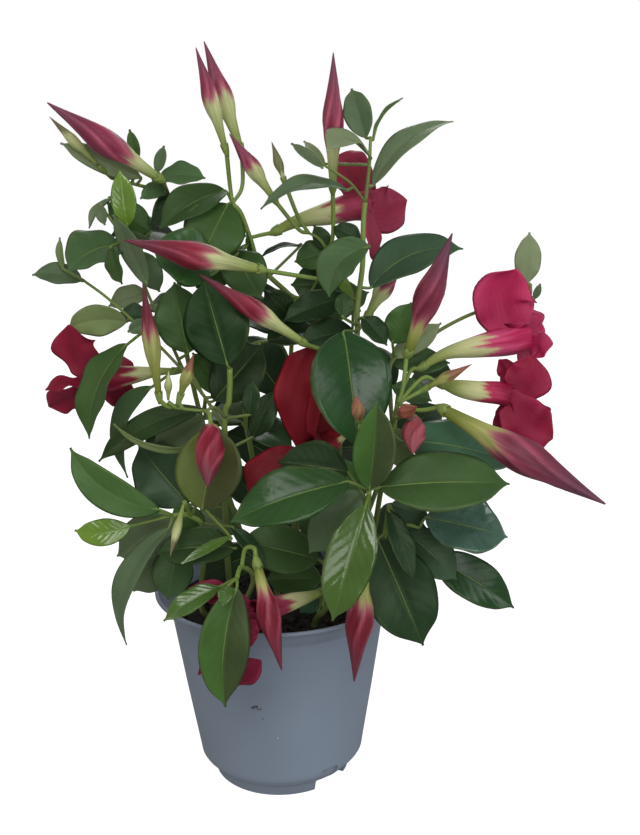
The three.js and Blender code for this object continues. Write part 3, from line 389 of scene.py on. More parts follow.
def tube(path, radius, sides, wave=1.0):
    """Rings round a path: point + radius * (across cos a + upward sin a). `wave[i, j]` multiplies
    the radius, so a ring can have ridges."""
    tangent = unit(np.gradient(path, axis=0))
    steady = np.eye(3)[np.argmin(np.abs(tangent).max(axis=0))]
    across = square(tangent, np.broadcast_to(steady, tangent.shape))
    upward = np.cross(tangent, across)
    angle = circle(sides)
    reach = np.broadcast_to(np.asarray(radius, float), len(path))[:, None] * np.ones(sides) * wave
    turned = across[:, None] * np.cos(angle)[:, None] + upward[:, None] * np.sin(angle)[:, None]
    return path[:, None] + turned * reach[..., None]


def branch_lines(branches):
    """Smooth centre line of each branch, six steps between points. The first one starts below
    its first point, at the foot of its hole, and comes up out of the soil there."""
    lines = []
    for number, (radius, points) in enumerate(branches):
        if number == 0:
            x, y = points[0][:2]
            points = np.vstack([[x, y, STEM_FOOT], [x, y, SOIL_TOP + 2], points[1:]])
        lines.append((radius, smooth(points, 6)))
    return lines


def nearest_on(lines, point):
    """The point of the branches' centre lines that is nearest to a point."""
    every = np.vstack([path for _, path in lines])
    return every[np.argmin(np.linalg.norm(every - point, axis=1))]


def branch_shell(radius, path, sides=12):
    """Round stem, a little knobbly, that tapers and turns greener towards its tip."""
    share = np.linspace(0, 1, len(path))
    knobs = 1 + 0.05 * np.sin(share[:, None] * 40 + path[0, 0]) * np.cos(circle(sides))
    colour = mix(BARK, SHOOT, ramp(share, 0.1, 0.9))[:, None]
    return skin(tube(path, radius * (1 - (1 - STEM_TAPER) * share), sides, knobs), colour)


# %% [markdown]
# ## Leaf colours
# Leaf colours go from the near black green of the inside to the yellow green of young shoots.
# Some tones are painted light and shade: k and j are greens in painted shade, l, u, v and z are
# greens in painted light, and the bluish cast of a and v is partly a painted sheen.
# Two of the tones have a second, darker colour for one half of the blade, because a folded young
# leaf catches the light on the other half only. One letter for each tone keeps the layout short.

# %% Leaf tones
LEAF_TONES = {
    "k": (23, 44, 18),  # in the shade of the bush
    "j": (14, 44, 8),  # deep and pure green
    "d": (34, 56, 32),  # deep green
    "e": (47, 68, 37),  # dark olive green
    "t": (55, 77, 56),  # dull and bluish
    "m": (58, 84, 43),  # middle green
    "h": (65, 95, 47),  # fresh green
    "n": (72, 100, 61),  # light green
    "g": (86, 107, 77),  # grey green
    "p": (102, 119, 88),  # pale green
    "q": (118, 135, 86),  # pale yellow green
    "l": (134, 148, 110),  # lower face, in full light
    "f": (68, 102, 46),  # fresh, with one darker half
    "w": (86, 97, 46),  # olive and folded, one half in shade
    "s": (34, 68, 32),  # shiny, deep
    "u": (46, 80, 36),  # shiny, deep, in more light
    "a": (60, 96, 70),  # shiny, bluish
    "v": (72, 108, 90),  # wet, bluish, with the light full on it
    "b": (68, 102, 32),  # wet, bright
    "y": (72, 104, 32),  # wet young shoot
    "z": (104, 138, 42),  # wet young shoot in full light
}
DARK_HALVES = {"f": (60, 74, 42), "w": (70, 73, 40)}
SATIN, LOWER_FACE, SHINY, WET = range(4)  # places in LEAF_FINISHES
GLOSS = {"s": SHINY, "u": SHINY, "a": SHINY, "v": WET, "b": WET, "y": WET, "z": WET}
print(len(LEAF_TONES), "leaf tones, glossy:", *GLOSS)

# %% [markdown]
# ## Blades
# Leaves and petals are both thin blades on a bent midrib, so one function makes them. At each step
# along the midrib, one ring goes across the upper face and back along the lower face. That closes
# the blade with a real thickness, which a single sheet of faces wouldn't have at its edge.

# %% Blades
BLADE_THICKNESS = 0.5


def arched_line(base, tip, face, bend, sweep, t, skew=0.0):
    """Midrib at each t: base + length * t * axis + bow * bend * up + (bow * sweep - skew) * aside,
    where bow is 4t(1 - t) of the length. Returns the line, its axis and its upward direction."""
    length = np.linalg.norm(tip - base)
    axis = (tip - base) / length
    up = square(axis, face)
    bow = 4 * t * (1 - t) * length
    line = base + np.outer(t * length, axis) + np.outer(bow * bend, up)
    return line + np.outer(bow * sweep - skew, np.cross(axis, up)), axis, up


def blade(spine, face, half, height, columns, turn):
    """Rings of a thin blade. Across the upper face s runs from -1 to 1, and back along the lower
    face. A point is spine + side * s * half + up * (height plus or minus half the thickness).
    `turn` is the angle by which side and up are turned about the spine. Returns rings, s and t."""
    n = len(spine)
    tangent = unit(np.gradient(spine, axis=0))
    up = square(tangent, np.broadcast_to(face, (n, 3)))
    side = np.cross(tangent, up)
    turn = turn[:, None]
    side, up = side * np.cos(turn) + up * np.sin(turn), up * np.cos(turn) - side * np.sin(turn)
    over = np.linspace(-1, 1, columns)
    s = np.concatenate([over, over[-2:0:-1]])
    lower = np.arange(len(s)) >= columns
    t = np.linspace(0, 1, n)[:, None] * np.ones(len(s))
    skin_height = np.where(lower, -0.5, 0.5) * BLADE_THICKNESS * np.sqrt(1 - s**4)
    lift = height(t, s) * half[:, None] + skin_height
    rings = spine[:, None] + side[:, None] * (s * half[:, None])[..., None] + up[:, None] * lift[..., None]
    return rings, s, t


def blade_map(s, t):
    """The shaders' map of a blade: U along it, and V across it, the same on both faces."""
    return np.stack([t, np.broadcast_to((s + 1) / 2, t.shape)], axis=-1)


# %% [markdown]
# ## Leaves
# The two halves of a leaf rise from its midrib like a shallow roof, softened in the middle. The edge
# waves a little, and the whole blade twists by a few degrees, so no leaf is flat. A short petiole
# joins it to the stem, and it runs on along the underside as the raised midrib.

# %% Leaves
LEAF_TWIST = np.radians(14)
PETIOLE_RADII = [[0, 0.17, 0.4, 1], [0.8, 0.68, 0.45, 0.12]]
UNDERSIDE = srgb(120, 138, 92)


def leaf_outline(t):
    """Half width as a share of the widest: sin(pi t^0.9)^0.72, drawn out to a point at the tip."""
    return np.sin(np.pi * t**0.9) ** (0.72 + 0.4 * ramp(t, 0.8, 1.0))


def leaf_shells(leaf, lines, number, steps=30, columns=15):
    """A blade and its petiole, which starts on the nearest stem and ends as the midrib."""
    base, tip, width, face, bend, sweep, fold, tone = leaf
    luck = scatter(number, np.arange(4))
    t = (1 - np.cos(np.pi * np.linspace(0.0, 1.0, steps))) / 2
    t = 0.5 * t + 0.5 * np.linspace(0, 1, steps)
    spine, axis, up = arched_line(base, tip, face, bend, sweep, t)
    half = np.maximum(width / 2 * leaf_outline(t), 0.6)
    rise = np.tan(np.radians(fold))
    waves = 2 * np.pi * (1.6 + 1.6 * luck[0])

    def height(t, s):
        soft_roof = (np.sqrt(s * s + 0.03) - np.sqrt(0.03)) * rise
        ripple = 0.09 * np.abs(s) ** 2.5 * np.sin(waves * t + 6 * luck[1] + np.where(s > 0, 1.7, 0))
        return soft_roof + ripple - 0.05 * np.exp(-((s / 0.12) ** 2))

    rings, s, _ = blade(spine, up, half, height, columns, LEAF_TWIST * (luck[2] - 0.5) * (t - 0.4))
    light = srgb(*LEAF_TONES[tone]) * (0.8 + 0.25 * luck[3])
    tint = np.broadcast_to(light, (len(s), 3))
    if tone in DARK_HALVES:
        right_hand = np.sign(np.cross(axis, up)[0]) * s
        tint = mix(light, srgb(*DARK_HALVES[tone]), ramp(right_hand, -0.04, 0.04))
    under = np.arange(len(s)) >= columns - 1
    tint = np.where(under[:, None], mix(tint, UNDERSIDE, 0.45), tint) * (0.92 + 0.16 * t)[:, None, None]
    uv = blade_map(s, t[:, None] * np.ones(len(s)))
    shell = skin(rings, tint, uv, np.where(under, LOWER_FACE, GLOSS.get(tone, SATIN)))

    below = (spine - up * BLADE_THICKNESS)[[4, 10, 16, 22, 26]]
    path = smooth(np.vstack([nearest_on(lines, base), base - up * 0.2, below]), 5)
    radius = np.interp(np.linspace(0, 1, len(path)), *PETIOLE_RADII)
    return shell, skin(tube(path, radius, 8), mix(SHOOT, light, 0.35))


# %% [markdown]
# ## Buds
# A mandevilla bud is five petals rolled round each other like an umbrella. Its section is therefore
# a five-toothed wheel, with each tooth rising slowly and falling fast, and the wheel turns on its way
# up. The profile swells from a slim neck to a belly and then draws out to a long point. The neck is
# green to cream, and the red begins in uneven tongues, one to each petal, so the colour's start is
# moved up and down round the bud. Each kind has one red for the belly and one for the point.

# %% Buds
BUD_PROFILE = [[0, 0.3], [0.26, 0.58], [0.4, 0.92], [0.54, 1], [0.7, 0.66], [0.86, 0.32], [1, 0.05]]
SHORT_BUD = [[0, 0.5], [0.14, 0.75], [0.36, 1], [0.58, 0.86], [0.76, 0.55], [0.9, 0.26], [1, 0.05]]
BUD_TWIST = np.radians(150)
NECK, CREAM = srgb(134, 150, 78), srgb(190, 194, 140)
# Kinds r, d and o take a greener neck and cream, made darker as painted shade.
GREENER_SHADED_NECK, GREENER_SHADED_CREAM = srgb(114, 124, 48), srgb(164, 166, 98)
BLUSH = srgb(190, 120, 128)
# ROSE is the colour of the painted highlight along each furled petal.
ROSE = srgb(188, 96, 116)
BUD_TONES = {
    "c": ((132, 30, 50), (104, 50, 64)),  # crimson
    "r": ((122, 28, 46), (104, 48, 62)),  # crimson, on a greener neck
    "m": ((138, 48, 74), (120, 66, 84)),  # mauve, in full light
    "d": ((124, 46, 66), (106, 66, 86)),  # dusky, on a greener neck
    "o": ((142, 112, 74), (146, 84, 72)),  # olive to salmon, on a greener neck
    "s": ((160, 96, 74), (156, 90, 72)),  # salmon
    "p": ((148, 68, 76), (140, 72, 80)),  # pink
    "g": ((118, 132, 78), (122, 104, 80)),  # still green
}


def bud_shell(base, tip, width, red, kind, number, steps=44, sides=40):
    """Furled corolla from neck to point. `red` is the share of its length, from the tip, that is
    red, and `kind` picks its colours. An all red bud is short, because its neck is hidden."""
    profile = smooth(SHORT_BUD if red == 1 else BUD_PROFILE, 10)
    t = np.linspace(0, 1, steps)
    radius = np.interp(t, profile[:, 0], profile[:, 1]) * width / 2
    angle = circle(sides)
    turn = 5 * (angle[None, :] - BUD_TWIST * t[:, None]) / (2 * np.pi) + scatter(number, 1)
    tooth = turn - np.floor(turn)
    saw = np.where(tooth < 0.8, tooth / 0.8, (1 - tooth) / 0.2) - 0.5
    fade = ramp(t, 0.08, 0.35)[:, None]
    rings = tube(base + (tip - base) * t[:, None], radius, sides, 1 + 0.13 * saw * fade)

    tongues = 0.03 * np.cos(5 * angle + 2 * number) + 0.02 * np.sin(3 * angle + number)
    start = 1 - red + tongues + 0.05 * (scatter(number, np.arange(sides)) - 0.5)
    along = t[:, None]
    share = np.clip((along - start + 0.03) / 0.09, 0, 1)
    body, end = (srgb(*tone) for tone in BUD_TONES[kind])
    # painted shade: the darker, greener neck and cream of kinds r, d and o
    neck, cream = (GREENER_SHADED_NECK, GREENER_SHADED_CREAM) if kind in "rdo" else (NECK, CREAM)
    foot = mix(neck, cream, ramp(along, 0.0, max(1 - red, 0.05)) ** 1.5)
    # Painted highlight: the rising side of each furled petal turns rosier, most on the mauve buds in full
    # light. Painted shade: the fold behind each petal is made darker.
    glow = (0.75 if kind == "m" else 0.4) * ramp(saw, 0.0, 0.5) * (1 - ramp(along, 0.55, 0.9))
    belly = mix(mix(body, ROSE, glow), end, ramp(along, 0.5, 0.92) * 0.85)
    belly = belly * (1 - 0.22 * ramp(-saw, 0.1, 0.5))[..., None]
    if red < 1 and kind in "crdm":
        belly = mix(belly, BLUSH, 0.6 * (1 - ramp(along - start, 0.0, 0.14)))
    return skin(rings, mix(foot, belly, ramp(share, 0.0, 1.0)))


# %% [markdown]
# ## Calyx and stalk
# Buds and flowers stand in a green cup, the calyx, with five pointed sepals, and the cup stands on a
# stalk. Only the three tiniest buds have no cup yet. The cup is a tube of eight rings that go up its
# outside, over the rim and down again inside. Moving some points of each ring ahead makes the
# sepals, with no extra pieces.

# %% Calyx and stalk
CUP_PLACES = np.array([-2.8, -1.4, -0.3, 1.4, 3.0, 2.9, 1.2, -0.3])  # from the foot to the rim and in again


def calyx_shells(stalk, base, ahead, neck, lines):
    """Flower stalk from the nearest stem, and a hollow cup with five pointed sepals that a neck
    of this radius stands in. The rings sit at CUP_PLACES along the flower, and the sepals' points
    are moved ahead by 1.6 |cos 2.5a|^1.5, more and more from the cup's foot to its rim."""
    hollow = neck + 0.1
    outer = hollow + 0.3
    inside = [hollow + 0.3, hollow, 0.5 * hollow]
    reach = np.array([0.9, 0.5 + 0.4 * outer, 0.86 * outer, outer, outer + 0.2, *inside])
    rings = tube(base + ahead * np.linspace(-2.8, 3, 8)[:, None], reach, 30)
    along = (rings - base) @ ahead
    tooth = 1.6 * np.abs(np.cos(2.5 * circle(30))) ** 1.5 - 0.8
    tall = np.clip((CUP_PLACES + 0.3) / 3.3, 0, 1)[:, None]
    rings = rings + ahead * (CUP_PLACES[:, None] + tooth * tall - along)[..., None]
    path = smooth(np.vstack([nearest_on(lines, stalk[0]), *stalk[1:], base - ahead * 1.1]), 6)
    stalk_rings = tube(path, np.linspace(0.95, 1.1, len(path)), 10)
    return [skin(rings, mix(SHOOT, NECK, 0.5)), skin(stalk_rings, SHOOT * 1.05)]


# %% [markdown]
# ## Petals
# A petal starts in the wall of the trumpet's mouth and spreads to a rounded blade whose end leans to
# one side, because furled petals overlap like the blades of a windmill. Its edge is ruffled, and the
# ruffle grows towards the rim as the square of the distance from the middle.

# %% Petals
PETAL_TWIST = np.radians(16)


def petal_outline(t):
    """Half width as a share of the widest: it opens fast, stays broad, and closes to a corner."""
    end = np.clip((1 - t) / 0.18, 0, 1) ** 0.6
    return ramp(t, -0.35, 0.5) ** 0.7 * (1 - ramp(t, 0.55, 1.35) ** 1.3) * end


def petal_shell(petal, mouth, ahead, mouth_radius, tones, number, steps=30, columns=19):
    """A petal whose first five rings run from inside the mouth's wall to its base."""
    base, tip, width, face, bend, sweep, corner = petal
    out = square(ahead, (base + tip) / 2 - mouth)
    root = mouth + out * (mouth_radius - 0.7) - ahead * 1.5
    t = np.linspace(0, 1, steps - 5)
    lean = corner * 0.3 * width * ramp(t, 0.4, 1.1) ** 1.5
    flat, _, up = arched_line(base, tip, face, bend, sweep, t, lean)
    spine = np.vstack([smooth([root, root * 0.35 + base * 0.65, base], 5)[:10:2], flat])
    half = width / 2 * petal_outline(t)
    half = half * (1 + 0.06 * np.sin(19 * t + 6 * scatter(number, 9)) * ramp(t, 0.3, 0.6))
    half = np.concatenate([np.linspace(mouth_radius * 0.6, half[0], 6)[:-1], half])
    half = np.maximum(half, 0.4)
    half[1:-1] = np.convolve(half, [0.25, 0.5, 0.25], "valid")
    luck = scatter(number, np.arange(5))

    def height(t, s):
        ruffle = 0.2 * s * s * ramp(t, 0.15, 0.6) * np.sin(15 * t + 6 * luck[0] + 2.2 * np.sign(s))
        curl = 0.25 * ramp(np.abs(s), 0.6, 1.0) * ramp(t, 0.3, 0.8) * (luck[4] - 0.6)
        return ruffle + curl + 0.1 * np.abs(s) + 0.07 * np.sin(5 * s + 6 * luck[1]) * ramp(t, 0.2, 0.7)

    twist = PETAL_TWIST * (luck[2] - 0.5) * np.linspace(0, 1, steps)
    rings, s, along = blade(spine, up, half, height, columns, twist)
    deep, light = (srgb(*tone) for tone in tones)
    glow = 0.35 * ramp(np.abs(s), 0.5, 1.0) + 0.3 * (luck[3] - 0.3)
    tint = mix(deep, light, np.clip(glow, 0, 1)) * (0.9 + 0.2 * along)[..., None]
    return skin(rings, tint, blade_map(s, along))


# %% [markdown]
# ## Trumpets
# An open flower is a trumpet with five broad petals at its mouth. The trumpet's rings widen along
# its tube, turn in over the lip and go back down the throat, so it is hollow, as a real one is.

# %% Trumpets
TUBE_GREEN = srgb(138, 152, 78)
TUBE_CREAM = srgb(196, 196, 144)
THROAT = srgb(120, 30, 40)
THROAT_RINGS = 7
# Each flower has its own deep and light red. They differ partly as painted light and shade: the flower in
# the middle of the bush has the darkest reds as painted shade.
FLOWER_TONES = {
    "flower_centre": ((112, 8, 24), (156, 24, 40)),
    "flower_top": ((144, 42, 66), (166, 60, 88)),
    "flower_right": ((170, 34, 78), (198, 74, 116)),
    "flower_low_right": ((132, 16, 50), (176, 48, 84)),
    "flower_front": ((112, 20, 48), (150, 50, 76)),
    "flower_left": ((126, 20, 46), (154, 44, 70)),
}


def flower_shells(name, trumpet, petals, number, sides=30):
    """Trumpet and petals. The trumpet's rows hold a point and the radius there. The throat's rings
    go back from the mouth by up to 7 mm, and are first laid out ahead of it, because the rings of
    a path that turns back on itself would turn over."""
    curve = smooth(trumpet, 7)
    mouth, ahead, lip = trumpet[-1, :3], unit(trumpet[-1, :3] - trumpet[-2, :3]), trumpet[-1, 3]
    back = mouth - ahead * np.linspace(0, 7, THROAT_RINGS)[:, None]
    path = np.vstack([curve[:, :3], back])
    narrowing = lip * np.array([0.72, 0.62, 0.52, 0.42, 0.3])
    radius = np.concatenate([curve[:, 3], [lip - 0.7, lip - 1.1], narrowing])
    angle = circle(sides)
    t = np.concatenate([np.linspace(0, 1, len(curve)), np.ones(THROAT_RINGS)])
    fluted = 1 + 0.04 * np.cos(5 * angle) * ramp(t, 0.2, 0.9)[:, None]
    steady = np.vstack([curve[:, :3], mouth + ahead * np.linspace(0.1, 1, THROAT_RINGS)[:, None]])
    rings = tube(steady, radius, sides, fluted) + (path - steady)[:, None]

    tones = FLOWER_TONES[name]
    deep, light = (srgb(*tone) for tone in tones)
    tongue = 0.06 * np.cos(5 * angle + number) + 0.12 * (scatter(number, np.arange(sides)) - 0.5)
    along = t[:, None]
    tint = mix(TUBE_GREEN, TUBE_CREAM, ramp(along, 0.1, 0.5) * np.ones(sides))
    tint = mix(tint, light, ramp(along + tongue, 0.5, 0.58))
    tint = mix(tint, deep, ramp(along + 2 * tongue, 0.62, 0.85))
    in_throat = np.arange(len(path)) > len(curve)
    shells = [skin(rings, np.where(in_throat[:, None, None], THROAT, tint))]
    for k, petal in enumerate(petals):
        shells.append(petal_shell(petal, mouth, ahead, lip, tones, 10 * number + k))
    return shells


# %% [markdown]
# ## The layout
# The plant was laid out stem by stem, as a list of rows. The first word says what the row holds, and
# the words after it are a few numbers and letters. Points are in millimetres from the middle of the
# pot's underside: to the right, to the back and up.
#
# - branch: its radius, and its points.
# - leaf: base, tip, width, the direction its upper face looks, how far it arches towards that face
#   and how far to the side (as shares of its length), the fold of its halves in degrees, its tone.
# - bud: its name, kind, width and the share of it that is red, its base and tip, and its stalk's
#   points from the stem on. A green bud is so young that it is made as one with its stem.
# - flower: its name and its stalk's points. The trumpet's row has a radius after each point.
# - petal: as a leaf, but its last number is 1 or -1 for the side to which its end leans.

# %% How a row is read
PLANT = {}


def in_groups(words, size=3):
    """Words as rows of numbers."""
    return np.array(words, float).reshape(-1, size)


def blade_row(words):
    """Base, tip, width, face and the rest."""
    v = np.array(words, float)
    return [v[:3], v[3:6], v[6], v[7:10], *v[10:]]


def lay_out(name, rows):
    """Add one stem to the plant."""
    stem = {"branches": [], "leaves": [], "green_buds": [], "buds": [], "flowers": []}
    for row in rows.strip().splitlines():
        what, *words = row.split()
        if what == "branch":
            stem["branches"].append((float(words[0]), in_groups(words[1:])))
        elif what == "leaf":
            stem["leaves"].append([*blade_row(words[:-1]), words[-1]])
        elif what in ("bud", "green_bud"):
            bud, kind, width, red = words[:4]
            base, tip, *stalk = in_groups(words[4:])
            stem[what + "s"].append([bud, stalk, base, tip, float(width), float(red), kind])
        elif what == "flower":
            petals = []
            stem["flowers"].append([words[0], in_groups(words[1:]), petals])
        elif what == "trumpet":
            stem["flowers"][-1].append(in_groups(words, 4))
        elif what == "petal":
            petals.append(blade_row(words))
    PLANT[name] = stem
    print(name, {part: len(found) for part, found in stem.items()})


# %% [markdown]
# ## The tall stem at the right
# It rises behind the dark flower in the middle and ends in a tuft of young, pale leaves. Three side
# branches and a few long stalks carry its leaves and six buds.

# %% The tall stem at the right
lay_out("stem_right", """
branch 1.6  28 -14 80  32 -8 150  35 -6 200  41 -28 237  42 -24 254  45 -20 275  46 -16 296  47 -15 304
branch 1  47 -15 304  49 -13 319  50 -12 334
branch 0.7  47 -15 304  40 -18 313  30 -22 320  22 -26 325
branch 0.9  43 -24 253  38 -4 266  30 0 279  25 0 286  20 0 289
leaf  48 -9 334  42 0 357  14  -0.3 -1 0.2  0.05 0  20  g
leaf  50 -14 325  28 -38 328  16  -0.2 -0.8 0.7  0.16 0.2  10  l
leaf  51 -11 333  66 -6 352  6  -0.9 0.1 0.5  0.13 0  20  n
leaf  51 -13 312  92 5 341  15  -0.6 -0.7 0.5  0.13 -0.04  12  p
leaf  38 -16 310  -3 -20 302  13  0 -0.55 1  0.2 0  12  g
leaf  29 8 322  19 12 333  5  -0.4 -0.8 0.5  0.05 0  20  l
leaf  26 -30 321  12 -24 332  5  -0.1 -0.9 0.4  0.05 0  20  p
leaf  49 -21 264  96 -6 280  23  -0.1 -0.75 0.65  0.06 -0.13  10  t
leaf  47 -36 285  28 -38 262  19  -0.3 -0.85 0.4  0.08 0.2  18  n
leaf  34 -42 253  35 -36 264  9  0 -1 0.25  0.05 0  12  e
leaf  40 -18 259  33 -6 271  6  -0.3 -1 0.2  0.05 0  10  z
leaf  34 -46 247  38 -74 198  37  0 -0.9 0.42  0.1 0  8  s
leaf  38 2 257  6 -6 246  17  -0.1 -0.8 0.6  0.06 0  10  d
leaf  41 16 261  11 20 261  24  -0.1 -0.9 0.35  0.05 0  10  e
leaf  41 -4 241  14 -10 235  17  0 -0.8 0.5  0.08 0  10  d
leaf  44 -30 251  55 -36 238  12  0.2 -0.8 0.5  0.08 0  12  d
leaf  45 -8 285  32 -4 292  11  0 -0.9 0.4  0.08 0  10  d
leaf  30 4 280  23 6 292  9  0 -0.9 0.3  0.05 0  10  e
bud bud_5 m 7.9 0.5  4 -4 305  -17 -8 337  20 0 289  15 -2 291
bud bud_6 g 4.5 0.75  9 -2 313  3 -2 333  20 0 289  15 0 297
bud bud_7 m 9.9 0.68  32 -6 310  33 -8 373  30 0 279  32 -3 289
bud bud_8 c 12.4 0.62  -3 -34 275  -63 -58 292  38 -6 264  23 -24 269
bud bud_9 c 9.1 0.6  16 -42 241  -30 -66 277  40 -28 234  27 -36 236
bud bud_23 m 9.7 0.6  48 -6 247  68 14 275  42 -25 243
flower flower_centre  41 -24 209  43 -10 193
trumpet  40 -10 191 1.8  34 -16 190 3.5  28 -22 188 5.5  22 -28 186 6.9
petal  15 -38 193  15 -34 239  21  -0.3 -1 0.2  0.06 -0.06  -1
petal  18 -44 197  29 -40 230  8  -0.5 -0.9 0.1  0.06 -0.05  1
petal  13 -40 186  -15 -46 175  20  -0.1 -0.9 0.4  0.06 0  1
petal  24 -24 191  36 -14 208  18  0.2 -0.9 0.3  0.05 0  1
petal  22 -30 180  23 -30 166  17  0.2 -0.9 -0.3  0.05 0  1
""")

# %% [markdown]
# ## The stem to the top
# It bows to the left and forks. The upper fork ends in the two highest buds, and the other one runs
# far out to the left, to a large bud and a tiny green one.

# %% The stem to the top
lay_out("stem_top", """
branch 1.5  6 8 80  12 14 150  25 18 240  10 12 257  -4 6 272  -9 2 287  -13 0 299  -17 0 304
branch 1.1  -4 6 272  -20 14 286  -39 18 299  -53 14 310  -62 8 313  -75 2 317
leaf  -61 2 317  -98 -2 334  12  0 -0.9 -0.2  0.04 0.02  10  l
leaf  -63 8 325  -66 8 340  6  0 -1 0.25  0.04 0  10  h
leaf  -54 10 319  -50 12 332  6  0 -1 0.25  0 0  25  g
leaf  -53 10 317  -30 6 316  15  0 -0.7 0.7  0.1 0  12  n
leaf  -34 8 304  -58 2 294  21  -0.5 -0.7 0.5  0.1 0  14  d
leaf  -20 2 310  -52 -12 293  22  -0.3 -0.75 0.6  0.12 0  14  m
leaf  -19 -4 304  -34 -18 276  30  0.15 -0.85 0.5  0.1 0  8  h
leaf  -26 -27 273  -54 -34 287  30  0 -0.8 0.6  0.1 0  10  u
leaf  -50 8 313  -62 2 307  9  0 -0.9 0.4  0.05 0  10  n
leaf  -5 4 272  -10 0 290  6  -0.8 -0.6 0  0.03 0  30  h
leaf  16 10 282  -4 4 277  7  0 -0.25 1  0.12 0  10  k
leaf  31 6 279  13 8 274  16  -0.1 -0.9 0.4  0.06 0  10  m
leaf  10 6 255  -15 -4 264  8  0 -0.5 1  0.08 0  14  k
leaf  -18 -6 281  -4 -24 260  22  0 -0.9 0.4  0.08 0  10  m
leaf  -15 -2 276  -36 -8 264  15  0 -0.9 0.4  0.06 0  10  m
leaf  11 4 246  -3 0 261  15  0 -0.9 0.3  0.06 0  10  k
green_bud bud_2 g 5 0.35  -81 -4 324  -100 -14 346  -75 0 317
bud bud_1 m 12.3 0.72  -51 -2 316  -99 -22 352  -45 8 307
bud bud_3 m 7.9 0.52  -19 -5 329  -31 -10 376  -17 0 304  -18 0 314
bud bud_4 m 9.6 0.5  -12 4 329  -28 6 380  -17 0 304  -12 2 312
flower flower_top  -9 2 287  -3 7 288
trumpet  3 10 289 2  15 12 294 3.3  30 16 297 5.7  43 20 300 7  51 22 300 7.3
petal  50 22 302  41 30 323  17  -0.3 -0.9 0.1  0.1 0  1
petal  53 32 304  41 46 327  18  -0.3 -0.8 0.5  0.22 0  1
petal  50 20 303  71 30 296  24  0.25 -1 0.1  -0.06 0.06  1
petal  51 14 298  53 8 272  11  0.7 -0.7 0.2  0.04 0  1
petal  52 28 297  61 50 286  16  0.7 -0.4 -0.5  0.05 0  1
""")

# %% [markdown]
# ## The stem at the left
# This is the leafiest stem, and it fills the left side. One of its buds points towards the eye. Its
# neck is out of sight, so that bud is short and red all over.

